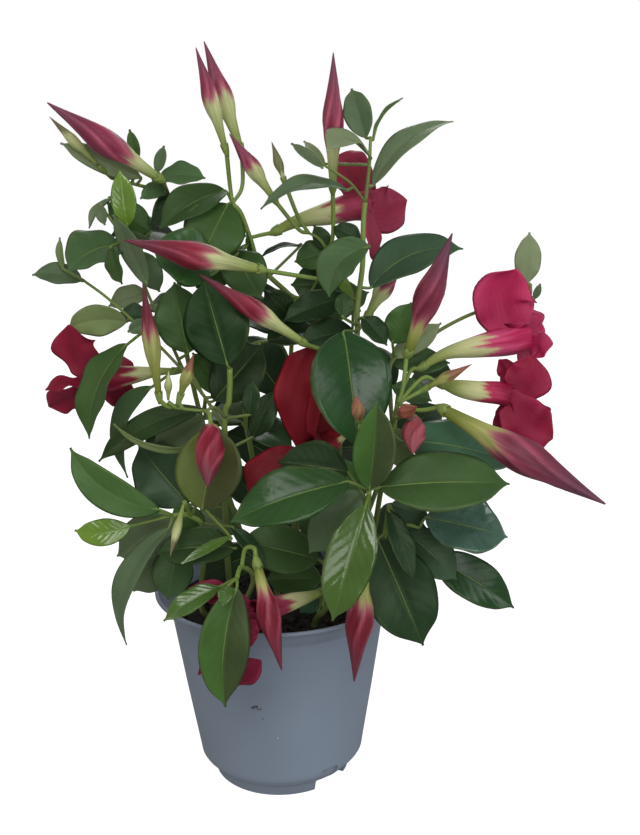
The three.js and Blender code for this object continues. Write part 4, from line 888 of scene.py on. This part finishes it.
# %% The stem at the left
lay_out("stem_left", """
branch 1.7  -16 -18 80  -24 -34 120  -23 -46 201  -20 -50 217  -19 -52 232
branch 0.9  -23 -46 202  -32 -36 215  -42 -28 226  -58 -20 242  -78 -13 260  -90 -10 269
branch 0.9  -42 -28 226  -51 -12 242  -59 -6 259  -65 -6 277  -69 -8 288
branch 0.9  -22 -48 208  -27 -52 214  -32 -54 213  -47 -50 214
leaf  -20 -54 234  -30 -44 272  30  0.1 -1 0.1  0.06 0  8  j
leaf  -40 -26 235  -45 -24 269  25  -0.1 -1 0  0.05 0  10  m
leaf  -68 -31 241  -87 -42 198  23  -0.72 -0.7 0.3  0.12 0.04  14  h
leaf  -70 -14 249  -99 -12 246  16  0 -1 -0.1  0.05 0.1  10  q
leaf  -61 2 261  -80 -2 255  13  -0.2 -0.8 0.5  0.1 0  12  l
leaf  -59 -8 250  -75 -10 251  12  0 -0.7 0.7  0.12 0  14  t
leaf  -59 -20 250  -69 -20 245  7  0 -1 0.1  0.05 0  12  g
leaf  -91 -10 269  -115 -8 272  12  0 -0.8 0.6  0.05 0.07  10  g
leaf  -99 -12 275  -100 -10 290  5  -0.5 -0.9 0  0.05 0  20  q
leaf  -70 -10 285  -94 -26 275  29  -0.25 -0.7 0.7  0.16 0.05  10  n
leaf  -73 -30 287  -68 -36 270  11  -0.7 -0.7 0.2  0.05 0  14  m
leaf  -67 -14 295  -69 -14 321  12  0.1 -1 0.1  0.06 0  18  z
leaf  -59 -16 267  -72 -24 301  11  -0.2 -1 0  -0.05 0  8  p
leaf  -59 10 290  -80 12 305  16  0.2 -0.9 0.4  0.06 0  12  h
leaf  -77 6 307  -88 4 293  9  -0.8 -0.5 0.4  0.1 0  20  p
leaf  -81 0 304  -79 -4 295  6  -0.3 -1 0.2  0.1 0  10  p
leaf  -57 0 286  -72 -2 292  7  0 -0.8 -0.5  0.05 0  10  g
leaf  -64 5 281  -55 3 261  13  0.1 -1 0.1  0.05 0  10  g
leaf  -11 -40 207  -9 -38 223  9  0 -1 0.25  0.05 0  14  d
leaf  -10 -32 194  1 -28 216  13  0 -0.95 0.2  0.06 0  10  k
leaf  -28 -34 213  -4 -24 238  25  0 -1 0.2  0.06 0  10  k
leaf  -57 -36 221  -73 -22 172  12  -0.5 -0.75 0.3  0.05 0.22  12  n
leaf  -34 -30 208  -86 -26 182  14  -0.15 -0.8 0.5  0.1 0.05  12  e
leaf  -37 -44 193  -76 -38 204  5  0.1 -0.85 -0.5  0.08 -0.12  8  q
leaf  -34 -20 201  -60 -12 184  18  0 -0.9 0.4  0.06 0  10  p
leaf  -23 -24 213  -39 -10 232  15  0.1 -0.95 0.2  0.06 0  10  h
leaf  -23 -34 180  -6 -30 158  17  0.1 -0.95 0.2  0.06 0  10  d
leaf  -43 -30 160  -68 -12 186  31  -0.2 -0.95 0.3  0.05 0  10  t
green_bud bud_12 g 3.7 0  -48 -52 218  -47 -54 232  -45 -50 214
bud bud_10 r 7.8 0.45  -52 -52 219  -56 -58 273  -47 -50 214  -49 -51 215
bud bud_11 o 5.6 0.38  -43 -52 218  -35 -54 240  -41 -51 214
bud bud_13 c 12.9 1  -28 -66 208  -29 -92 188  -32 -54 213  -29 -60 213
flower flower_left  -34 -35 217  -40 -20 224
trumpet  -46 -14 224 1.2  -56 -15 224 2.2  -67 -16 223 4.2  -78 -18 222 6  -86 -20 222 7
petal  -86 -20 224  -102 -16 245  23  -0.5 -0.85 0.1  -0.08 0  -1
petal  -86 -24 221  -109 -26 220  13  0 -0.2 1  0.06 0  1
petal  -86 -22 216  -111 -20 212  17  0.1 -0.8 -0.6  0.05 0  1
petal  -83 -14 218  -72 -2 208  15  0 -1 0.2  0.05 0  1
petal  -83 -12 223  -72 2 226  15  0 -0.8 0.6  0.06 0  1
""")

# %% [markdown]
# ## The low shoot at the left
# A young shoot that stays low and fans its leaves out over the pot's left rim.

# %% The low shoot at the left
lay_out("shoot_left", """
branch 1.5  -32 -30 80  -38 -44 112  -34 -50 151  -40 -54 162  -48 -58 164
branch 1  -40 -54 162  -36 -58 170
leaf  -34 -62 168  -26 -52 206  31  0 -1 0.15  0.05 0  16  w
leaf  -54 -61 168  -94 -54 197  17  -0.25 -0.85 0.5  0.07 -0.13  14  h
leaf  -53 -60 166  -85 -56 171  12  0 -0.75 0.65  0.08 0  10  n
leaf  -68 -60 160  -94 -58 158  13  0 -0.95 0.4  0.05 -0.08  10  z
leaf  -50 -62 159  -73 -60 100  15  -0.78 -0.62 0.1  0.17 0.04  14  g
leaf  -48 -50 159  -77 -46 140  22  -0.1 -0.9 0.5  0.06 0  10  p
leaf  -37 -40 147  -49 -40 163  16  0 -0.95 0.3  0.06 0  10  h
leaf  -47 -50 146  -53 -54 120  20  0 -0.95 0.3  0.06 0  10  n
leaf  -52 -38 142  -71 -40 119  23  -0.1 -0.95 0.3  0.06 0  10  p
leaf  -19 -66 150  -56 -68 149  22  0 -0.6 0.85  0.08 0  8  e
leaf  -21 -70 157  -43 -82 149  5  0 -0.8 0.6  0.05 0  10  y
leaf  -21 -62 159  -5 -70 142  8  0.5 -0.8 0.4  0.06 0  14  d
green_bud bud_22 g 4.2 0.3  -42 -66 172  -48 -80 152  -40 -54 162
""")

# %% [markdown]
# ## The short shoot over the rim
# Three leaves and one bud, which hangs down in front of the pot's rim.

# %% The short shoot over the rim
lay_out("shoot_front_left", """
branch 1.4  -14 -38 80  -18 -52 110  -11 -68 135  -16 -78 145  -18 -86 143
leaf  -26 -86 139  -51 -92 126  12  -0.1 -0.6 0.8  0.08 0  14  b
leaf  -18 -90 140  -25 -96 85  23  0.05 -1 0.1  0.05 0.06  12  f
leaf  -22 -90 141  -24 -98 135  7  0 -0.8 0.6  0.05 0  20  b
bud bud_20 r 10.5 0.76  -9 -84 150  1 -96 102  -16 -78 145  -14 -79 154  -10 -81 155
""")

# %% [markdown]
# ## The shoot at the front
# It stands nearest to the eye. Its flower opens just above the rim, and one of its two buds hangs
# down in front of it.

# %% The shoot at the front
lay_out("shoot_front", """
branch 1.6  18 -36 80  24 -50 112  42 -66 149  42 -76 167  42 -84 182
leaf  33 -84 186  -20 -88 170  28  -0.1 -0.7 0.75  0.09 0  8  u
leaf  39 -74 178  15 -76 150  22  -0.1 -0.85 0.5  0.06 0  8  g
leaf  40 -90 177  24 -100 127  22  -0.1 -1 0.3  0.08 0  18  y
leaf  42 -86 183  45 -92 224  19  0.05 -1 0.1  0.04 0  22  f
leaf  34 -62 184  2 -56 188  24  -0.05 -0.85 0.5  0.06 0  10  k
leaf  47 -84 183  104 -88 184  30  0.05 -0.75 0.7  0.07 0  8  m
leaf  20 -54 138  -18 -57 150  24  0 -0.85 0.55  0.07 0  8  m
leaf  22 -34 120  -6 -36 121  20  0 -0.8 0.6  0.08 0  8  m
leaf  23 -30 113  11 -32 101  13  0 -0.8 0.6  0.08 0  8  a
leaf  28 -42 139  11 -42 157  14  0 -0.9 0.4  0.06 0  10  m
leaf  41 -62 171  33 -58 189  11  0 -0.95 0.2  0.06 0  10  h
bud bud_18 o 5.7 1  38 -84 214  36 -88 226  42 -84 182  39 -84 200
bud bud_21 r 12.6 0.66  40 -80 149  34 -90 92  42 -76 167  41 -77 157
flower flower_front  33 -50 120  26 -42 117
trumpet  22 -42 116 1.5  14 -50 117 3  5 -60 119 4.4  -6 -72 121 5.5  -11 -78 122 6.1
petal  -13 -80 126  -39 -82 140  11  -0.1 -0.8 0.6  0.05 0  1
petal  -13 -84 123  -16 -90 112  12  -0.2 -1 0.1  0.05 0  1
petal  -15 -75 121  -31 -70 105  14  -0.3 -0.9 -0.1  0.05 0  1
petal  -28 -80 95  -8 -83 97  13  0 -1 0.1  0.04 0.08  1
petal  -20 -77 110  -39 -79 94  6  -0.2 -1 0.1  0.05 0  1
""")

# %% [markdown]
# ## The low shoot at the right
# Six leaves on a forked shoot close the right side above the rim.

# %% The low shoot at the right
lay_out("shoot_right", """
branch 1.5  38 -26 80  48 -40 112  51 -58 148  53 -64 168
branch 1  51 -58 148  61 -57 155  68 -58 154
leaf  52 -70 168  62 -84 138  11  0.2 -1 0.3  0.06 0  16  d
leaf  48 -62 150  68 -74 101  34  -0.05 -0.95 0.35  0.08 0  8  d
leaf  55 -50 163  74 -48 156  13  0 -0.9 0.4  0.06 0  10  t
leaf  62 -50 150  86 -58 127  21  0.1 -0.85 0.5  0.08 0  10  t
leaf  76 -42 133  117 -46 106  22  0 -0.85 0.5  0.07 -0.01  10  s
leaf  71 -58 159  109 -64 150  33  0.05 -0.65 0.8  0.08 0.02  10  v
""")

# %% [markdown]
# ## The stem with the most flowers
# Mandevilla flowers grow in racemes, with their stalks close together near the end of a stem. This
# one carries two flowers and five buds. Its largest bud is the plant's outermost point on the right.

# %% The stem with the most flowers
lay_out("stem_raceme", """
branch 1.6  46 -4 80  52 -18 150  56 -42 193  59 -46 212
branch 1.1  57 -44 199  57 -34 211  59 -20 227  74 -12 234  87 -6 241  104 2 247  121 8 250  \
    133 10 253  134 10 260
leaf  60 -50 195  116 -48 181  30  0 -0.6 0.8  0.08 0  8  a
leaf  59 -24 237  68 -26 257  16  -0.2 -1 0.1  0.05 0  12  h
leaf  59 -18 229  84 -16 245  12  0 -1 -0.1  0.04 0  8  l
leaf  60 -14 225  89 -12 224  15  0 -0.8 0.6  0.08 0  10  n
leaf  59 -24 215  78 -26 208  14  0 -0.7 0.7  0.1 0  10  n
leaf  59 -38 198  63 -38 177  14  0.1 -0.95 0.2  0.06 0  10  q
leaf  131 10 260  133 12 286  14  0 -1 0.25  0.05 0  8  l
leaf  136 10 252  139 10 260  4  0 -1 0.25  0.03 0  10  g
bud bud_14 d 13.2 0.75  65 -34 233  84 -46 291  59 -46 212  62 -42 219
bud bud_15 o 5.2 0.5  72 -40 217  94 -46 230  59 -46 212  65 -42 214
bud bud_16 s 6.8 0.8  57 -58 209  64 -78 218  57 -43 201
bud bud_17 p 10.9 1  65 -62 208  62 -80 197  58 -45 208  63 -54 209
bud bud_19 d 16 0.68  78 -58 212  145 -96 176  59 -46 212  68 -52 210
flower flower_right  62 -43 220  67 -30 224
trumpet  73 -22 224 1.5  86 -18 230 3  103 -12 232 5.6  118 -6 233 7.4  129 -2 235 8.3
petal  122 -8 237  114 -8 268  31  -0.25 -1 0.1  -0.06 -0.05  -1
petal  130 0 238  142 16 236  14  0.9 -0.35 0.3  0.04 0  1
petal  130 -6 233  136 -18 231  14  0.8 -0.6 -0.2  0.05 0  1
petal  128 0 230  137 22 215  19  0.6 -0.7 -0.3  0.05 0  1
petal  132 8 235  134 34 247  20  0.2 -1 0.2  0.05 0  1
flower flower_low_right  62 -42 219  72 -37 222
trumpet  80 -34 219 1.5  90 -34 216 4.1  100 -34 214 5.1  109 -34 213 5.6  114 -34 212 5.9
petal  114 -34 214  131 -30 224  23  0.2 -1 0.1  0.06 0  1
petal  115 -30 215  114 -22 228  10  -0.7 -0.7 0.2  -0.12 0  1
petal  114 -36 210  131 -34 185  26  0.1 -1 0.05  0.06 0  1
petal  114 -36 208  114 -26 189  12  -0.5 -0.8 0.1  0.05 0  1
petal  118 -26 211  136 4 211  21  0.7 -0.6 0.2  0.05 0  1
""")

# %% [markdown]
# ## Stems inside the bush
# Four more stems stand inside and behind the bush. Mandevilla leaves come in opposite pairs, and
# each pair is turned a right angle from the pair below it. That rule places these leaves, with small
# changes of angle and size for each leaf.

# %% Stems inside the bush
INNER = {  # points, pairs, where they start, heading and pitch in degrees, length, width, seed
    "stem_back_left": ([[-14, 26, 80], [-22, 32, 130], [-40, 36, 190], [-48, 34, 250], [-44, 30, 286]],
                       4, 0.2, 120, 0, 40, 24, 22),
    "stem_back": ([[10, 30, 80], [12, 42, 130], [8, 48, 180], [12, 46, 236]],
                  4, 0.22, 120, 24, 56, 34, 23),
    "stem_back_right": ([[32, 20, 80], [48, 28, 125], [64, 32, 170], [68, 30, 200]],
                        3, 0.26, 120, 24, 56, 34, 24),
    "stem_middle": ([[0, -12, 80], [-4, -10, 140], [-14, -8, 200], [-6, -6, 236]],
                    3, 0.26, 30, -12, 40, 24, 25),
}
INNER_RADIUS = 1.6
INNER_PETIOLE = 5


def paired_leaves(points, pairs, first, heading, pitch, length, width, seed):
    """Pairs at even steps from `first` to the tip, each turned 90 degrees from the last."""
    curve = smooth(points, 200)
    leaves = []
    for k in range(pairs):
        share = first + (1 - first) * k / (pairs - 1)
        node = curve[round(share * (len(curve) - 1))]
        for half in (0, 1):
            key = 4 * k + half
            way = np.radians(heading + 90 * k + 180 * half + 24 * (scatter(seed, key) - 0.5))
            lift = np.radians(pitch + 24 * (scatter(seed + 9, key) - 0.5))
            size = 1 - 0.3 * scatter(seed + 5, key)
            out = np.array([np.cos(way) * np.cos(lift), np.sin(way) * np.cos(lift), np.sin(lift)])
            start = node + out * INNER_PETIOLE
            face = [out[0] * 0.4, out[1] * 0.4 - 0.9, 1]
            tone = "dkmd"[(k + 2 * half + seed) % 4]
            leaves.append([start, start + out * length * size, width * size, face, 0.1, 0, 12, tone])
    return leaves


for name, (points, *rule) in INNER.items():
    leaves = paired_leaves(points, *rule)
    branch = (INNER_RADIUS, points)
    PLANT[name] = {"branches": [branch], "leaves": leaves, "green_buds": [], "buds": [], "flowers": []}
print("stems:", len(PLANT), " leaves:", sum(len(s["leaves"]) for s in PLANT.values()))

# %% [markdown]
# ## Grow the plant
# Each stem of the layout becomes two pieces: its wood, with petioles, stalks and calyx cups, and its
# leaf blades. Every bud and flower is a piece of its own, as it is in the solid model.

# %% Grow the plant
CUP_DEPTH = 3  # how far a calyx reaches up the neck of its bud or flower
count = 0
for name, stem in PLANT.items():
    lines = branch_lines(stem["branches"])
    wood = [branch_shell(radius, path) for radius, path in lines]
    blades = []
    for leaf in stem["leaves"]:
        count += 1
        shell, petiole = leaf_shells(leaf, lines, count)
        blades.append(shell)
        wood.append(petiole)
    for number, (_, stalk, base, tip, width, red, kind) in enumerate(stem["green_buds"]):
        wood.append(bud_shell(base, tip, width, red, kind, number, steps=24, sides=20))
        wood += calyx_shells(stalk, base, unit(tip - base), BUD_PROFILE[0][1] * width / 2, lines)[1:]
    for number, (bud, stalk, base, tip, width, red, kind) in enumerate(stem["buds"]):
        length = np.linalg.norm(tip - base)
        neck = np.interp(CUP_DEPTH / length, *np.transpose(BUD_PROFILE)) * width / 2
        wood += calyx_shells(stalk, base, (tip - base) / length, neck, lines)
        shell = bud_shell(base, tip, width, red, kind, len(name) + number)
        make_piece(bud + "_furled", [shell], [BUD_FINISH], bud)
    for number, (flower, stalk, petals, trumpet) in enumerate(stem["flowers"]):
        first, run = trumpet[0], trumpet[1] - trumpet[0]
        neck = first[3] + run[3] * CUP_DEPTH / np.linalg.norm(run[:3])
        wood += calyx_shells(stalk, first[:3], unit(run[:3]), neck, lines)
        shells = flower_shells(flower, trumpet, petals, len(name) + number)
        make_piece(flower + "_corolla", shells, [PETAL_FINISH], flower)
    make_piece(name + "_wood", wood, [STEM_FINISH], name)
    make_piece(name + "_leaves", blades, LEAF_FINISHES, name)

# %% [markdown]
# ## Pot wall
# The pot is injection moulded. Its wall is one profile turned round the axis: foot ring, chamfer,
# taper, a flared collar and a small rolled rim. The foot ring is cut away at three places to let
# water out, and at two of them a wider, lower step goes with the cut. A cut is made by lifting the
# ring's bottom between its two edges, with two columns of points close together at each edge so
# that it stays sharp. That keeps the wall one closed skin, with nothing to cut out of it.

# %% Pot wall
POT_PROFILE = np.array([
    [9, 0], [9, 5.5], [32.6, 5.5], [33, 5], [33, 0.4], [33.4, 0], [36.1, 0], [36.5, 0.4],
    [37.9, 5.6], [38.4, 6.2], [43.4, 11.4], [44.1, 12.6], [44.5, 15.4], [44.75, 17], [50.3, 51],
    [56.8, 93.6], [57.2, 94.4], [60, 97], [61.5, 99], [63.6, 102.6], [64.4, 103], [65, 103.5],
    [65.1, 104.3], [64.8, 104.9], [64.2, 105.05], [63.5, 104.9], [63.1, 104.2], [62.6, 102.8],
    [59.2, 97.8], [55.8, 94.8], [55.6, 94], [49, 51], [43, 13.4], [41.8, 10.6], [39.5, 7.2], [2, 7.2],
])
RING_INSIDE = 32.8  # the foot ring's profile points are outside this radius
RING_POINTS = 14  # and among this many of the first ones
NOTCHES = np.array([  # middle and half width in degrees, height
    [-56, 6.8, 14.5], [-38, 12, 5.5], [64, 6.8, 14.5], [82, 12, 5.5], [184, 6.8, 14.5],
])

edges = (NOTCHES[:, :1] + NOTCHES[:, 1:2] * [-1, 1]).ravel()
angles = np.unique(np.concatenate([np.arange(0, 360, 2.5), edges - 0.15, edges + 0.15]) % 360)
off = np.abs((angles[:, None] - NOTCHES[:, 0] + 180) % 360 - 180)
cut = np.where(off < NOTCHES[:, 1], NOTCHES[:, 2], 0).max(axis=1)
r, z = POT_PROFILE[:, :1], POT_PROFILE[:, 1:] * np.ones(len(angles))
on_ring = (r > RING_INSIDE) & (np.arange(len(r))[:, None] < RING_POINTS)
z = np.where(on_ring, np.maximum(z, cut), z)
turns = np.radians(angles)
pot_rings = np.stack([r * np.cos(turns), r * np.sin(turns), z], axis=-1)
print("pot:", 2 * r.max(), "mm across the rim,", z.max(), "mm high")

# %% [markdown]
# ## Pot finish
# The plastic is thin and slate grey, with a soft gloss. The wall has a few scuffs and specks. Each
# is a small ball in the object's own coordinates, whose distance is roughened with noise before it
# is compared with the ball's size, so a mark has a ragged edge and needs no picture.

# %% Pot finish
SLATE = srgb(129, 141, 157)
MARKS = [  # place, size, colour
    ((-14.0, -49.5, 58.4), 0.9, (66, 52, 50)),
    ((-12.3, -50.0, 59.2), 0.9, (66, 52, 50)),
    ((-11.6, -50.1, 57.6), 0.5, (66, 52, 50)),
    ((-10.3, -50.3, 58.0), 0.5, (66, 52, 50)),
    ((-9.2, -49.6, 52.0), 0.35, (80, 66, 62)),
    ((-2.0, -48.6, 40.6), 0.5, (190, 196, 200)),
]
plastic = Finish("slate_plastic", 0.45, 0.3)
wall_tone = plastic.shade(plastic.tint(), plastic.band(plastic.noise(9.0, 3.0), 0.3, 0.7, 0.95, 1.05))
for spot, size, mark in MARKS:
    here = plastic.node("TexCoord").outputs["Object"]
    apart = plastic.node("VectorMath", {"operation": "DISTANCE"}, i0=here, i1=np.array(spot) * MM)
    reach = size * MM
    ragged = plastic.math("MULTIPLY_ADD", plastic.noise(700.0), 1.6 * reach, apart.outputs["Value"])
    edge = plastic.band(ragged, 1.6 * reach, 2.0 * reach, 0.85, 0.0)
    wall_tone = plastic.blend(wall_tone, (*srgb(*mark), 1), edge)
plastic.feed("Base Color", wall_tone)
plastic.feed("Roughness", plastic.band(plastic.noise(30.0, 3.0), 0.3, 0.7, 0.42, 0.54))
plastic.bump(plastic.noise(900.0), 0.12, 0.0003)
make_piece("pot_wall", [skin(pot_rings, SLATE)], [plastic.material], "pot")

# %% [markdown]
# ## Soil
# Potting soil is dark peat with bark crumbs. Its earth is coloured darker still, as painted shade
# from the bush above. Its top is a disc of rings pushed up and down by a few sines, with some
# hundred small crumbs half sunk into it. A crumb is an octahedron, stretched and turned at random,
# and all of them are made in one go by multiplying six corner points.

# %% Soil
BED_PROFILE = np.array([[39, 7.55], [42.5, 13.3], [55.3, 93.8], [55.3, 94.6]])
CRUMBS = 520
CRUMB_REACH = 53
OCTAHEDRON = np.array([[1, 0, 0], [0, 1, 0], [-1, 0, 0], [0, -1, 0], [0, 0, 1], [0, 0, -1]])
FACETS = [[0, 1, 4], [1, 2, 4], [2, 3, 4], [3, 0, 4], [1, 0, 5], [2, 1, 5], [3, 2, 5], [0, 3, 5]]

around = np.radians(np.arange(0, 360, 4))
r, z = BED_PROFILE[:, :1], BED_PROFILE[:, 1:]
side_rings = np.stack([r * np.cos(around), r * np.sin(around), z * np.ones(len(around))], axis=-1)
top = np.linspace(0.97, 0.05, 26)[:, None] * BED_PROFILE[-1, 0]
x, y = top * np.cos(around), top * np.sin(around)
lumps = np.sin(x * 0.9 + 1.3) * np.sin(y * 0.8) + 0.6 * np.sin(x * 0.37 + y * 0.51)
lumps = lumps + 0.3 * np.sin(2.1 * x - 1.7 * y)
top_rings = np.stack([x, y, SOIL_TOP + 0.5 * lumps], axis=-1)
# The earth's colour is peat brown, made darker as painted shade under the bush.
earth = skin(np.concatenate([side_rings, top_rings]), srgb(28, 25, 22))

rng = np.random.default_rng(7)
spin = np.linalg.qr(rng.normal(size=(CRUMBS, 3, 3)))[0]
spin = spin * np.sign(np.linalg.det(spin))[:, None, None]
size = rng.uniform(0.5, 1.7, (CRUMBS, 1, 1)) * rng.uniform(0.5, 1.2, (CRUMBS, 1, 3))
spot = np.sqrt(rng.uniform(0, 1, CRUMBS)) * CRUMB_REACH
way = rng.uniform(0, 2 * np.pi, CRUMBS)
height = SOIL_TOP + rng.uniform(-0.3, 0.9, CRUMBS)
middle = np.stack([spot * np.cos(way), spot * np.sin(way), height], axis=-1)
tone = mix(srgb(26, 22, 19), srgb(72, 58, 45), rng.uniform(0, 1, CRUMBS) ** 3)
crumbs = {
    "points": ((OCTAHEDRON * size) @ spin + middle[:, None]).reshape(-1, 3),
    "quads": np.empty((0, 4), int),
    "triangles": (FACETS + 6 * np.arange(CRUMBS)[:, None, None]).reshape(-1, 3),
    "tint": np.repeat(tone, 6, axis=0),
    "uv": np.zeros((6 * CRUMBS, 2)),
    "slots": np.empty(0, int),
}
peat = Finish("peat", 0.95, 0.15)
peat.feed("Base Color", peat.shade(peat.tint(), peat.band(peat.noise(420.0, 4.0), 0.3, 0.7, 0.55, 1.4)))
peat.bump(peat.noise(600.0, 4.0), 0.9, 0.0012)
make_piece("soil_bed", [earth, crumbs], [peat.material], "soil")

# %% [markdown]
# ## Floor
# The plant stands on a plain white floor. The floor glows by itself, and it is hidden from diffuse
# and glossy rays, so it neither lights the leaves from below nor shows in their gloss.

# %% Floor
FLOOR_REACH = 4.0  # metres
FLOOR_GLOW = 0.96
sheet = bpy.data.meshes.new("floor")
corners = [(x * FLOOR_REACH, y * FLOOR_REACH, 0) for x, y in ((-1, -1), (1, -1), (1, 1), (-1, 1))]
sheet.from_pydata(corners, [], [(0, 1, 2, 3)])
floor = bpy.data.objects.new("floor", sheet)
bpy.context.scene.collection.objects.link(floor)
paper = Finish("white_paper", 0.9, 0.0)
paper.shader.inputs["Base Color"].default_value = (0.3, 0.3, 0.3, 1)
paper.shader.inputs["Emission Color"].default_value = (1, 1, 1, 1)
paper.shader.inputs["Emission Strength"].default_value = FLOOR_GLOW
sheet.materials.append(paper.material)
floor.visible_diffuse = False
floor.visible_glossy = False

# %% [markdown]
# ## Lamps
# Large lamps give soft, even light with only faint shadows: one above and in front, a low one in
# front for the pot, a weak and warm one on the left, a stronger and cooler one on the right, and one
# behind that lifts the rims of the leaves. The world is plain white to the camera and dimmer as a
# source of light.

# %% Lamps
AIM = (0, 0, 200)
WORLD_LIGHT = 0.3


def lamp(name, place, size, power, colour=(1, 1, 1)):
    """Square area light at a place, facing the plant, both in millimetres."""
    light = bpy.data.lights.new(name, "AREA")
    light.size = size * MM
    light.energy = power
    light.color = colour
    back = unit(np.subtract(place, AIM))
    right = unit(np.cross([0, 1, 0.001], back))
    stand(name, light, place, [right, np.cross(back, right), back])


lamp("front", (-150, -900, 950), 600, 5)
lamp("low", (250, -1200, 300), 700, 4)
lamp("left", (-1000, -100, 700), 500, 1.2, (1.0, 0.8, 0.64))
lamp("right", (1000, -300, 600), 500, 2.8, (0.94, 0.97, 1.0))
lamp("behind", (100, 900, 800), 600, 3)

world = bpy.data.worlds.new("white")
bpy.context.scene.world = world
world.use_nodes = True
sky = world.node_tree
plain = sky.nodes["Background"]
plain.inputs["Color"].default_value = (1, 1, 1, 1)
seen = sky.nodes.new("ShaderNodeLightPath")
strength = sky.nodes.new("ShaderNodeMapRange")
strength.inputs["To Min"].default_value = WORLD_LIGHT
strength.inputs["To Max"].default_value = 1.0
sky.links.new(seen.outputs["Is Camera Ray"], strength.inputs["Value"])
sky.links.new(strength.outputs["Result"], plain.inputs["Strength"])
bpy.context.scene.view_settings.view_transform = "Standard"
print("lamps:", len(bpy.data.lights), " world light:", WORLD_LIGHT)
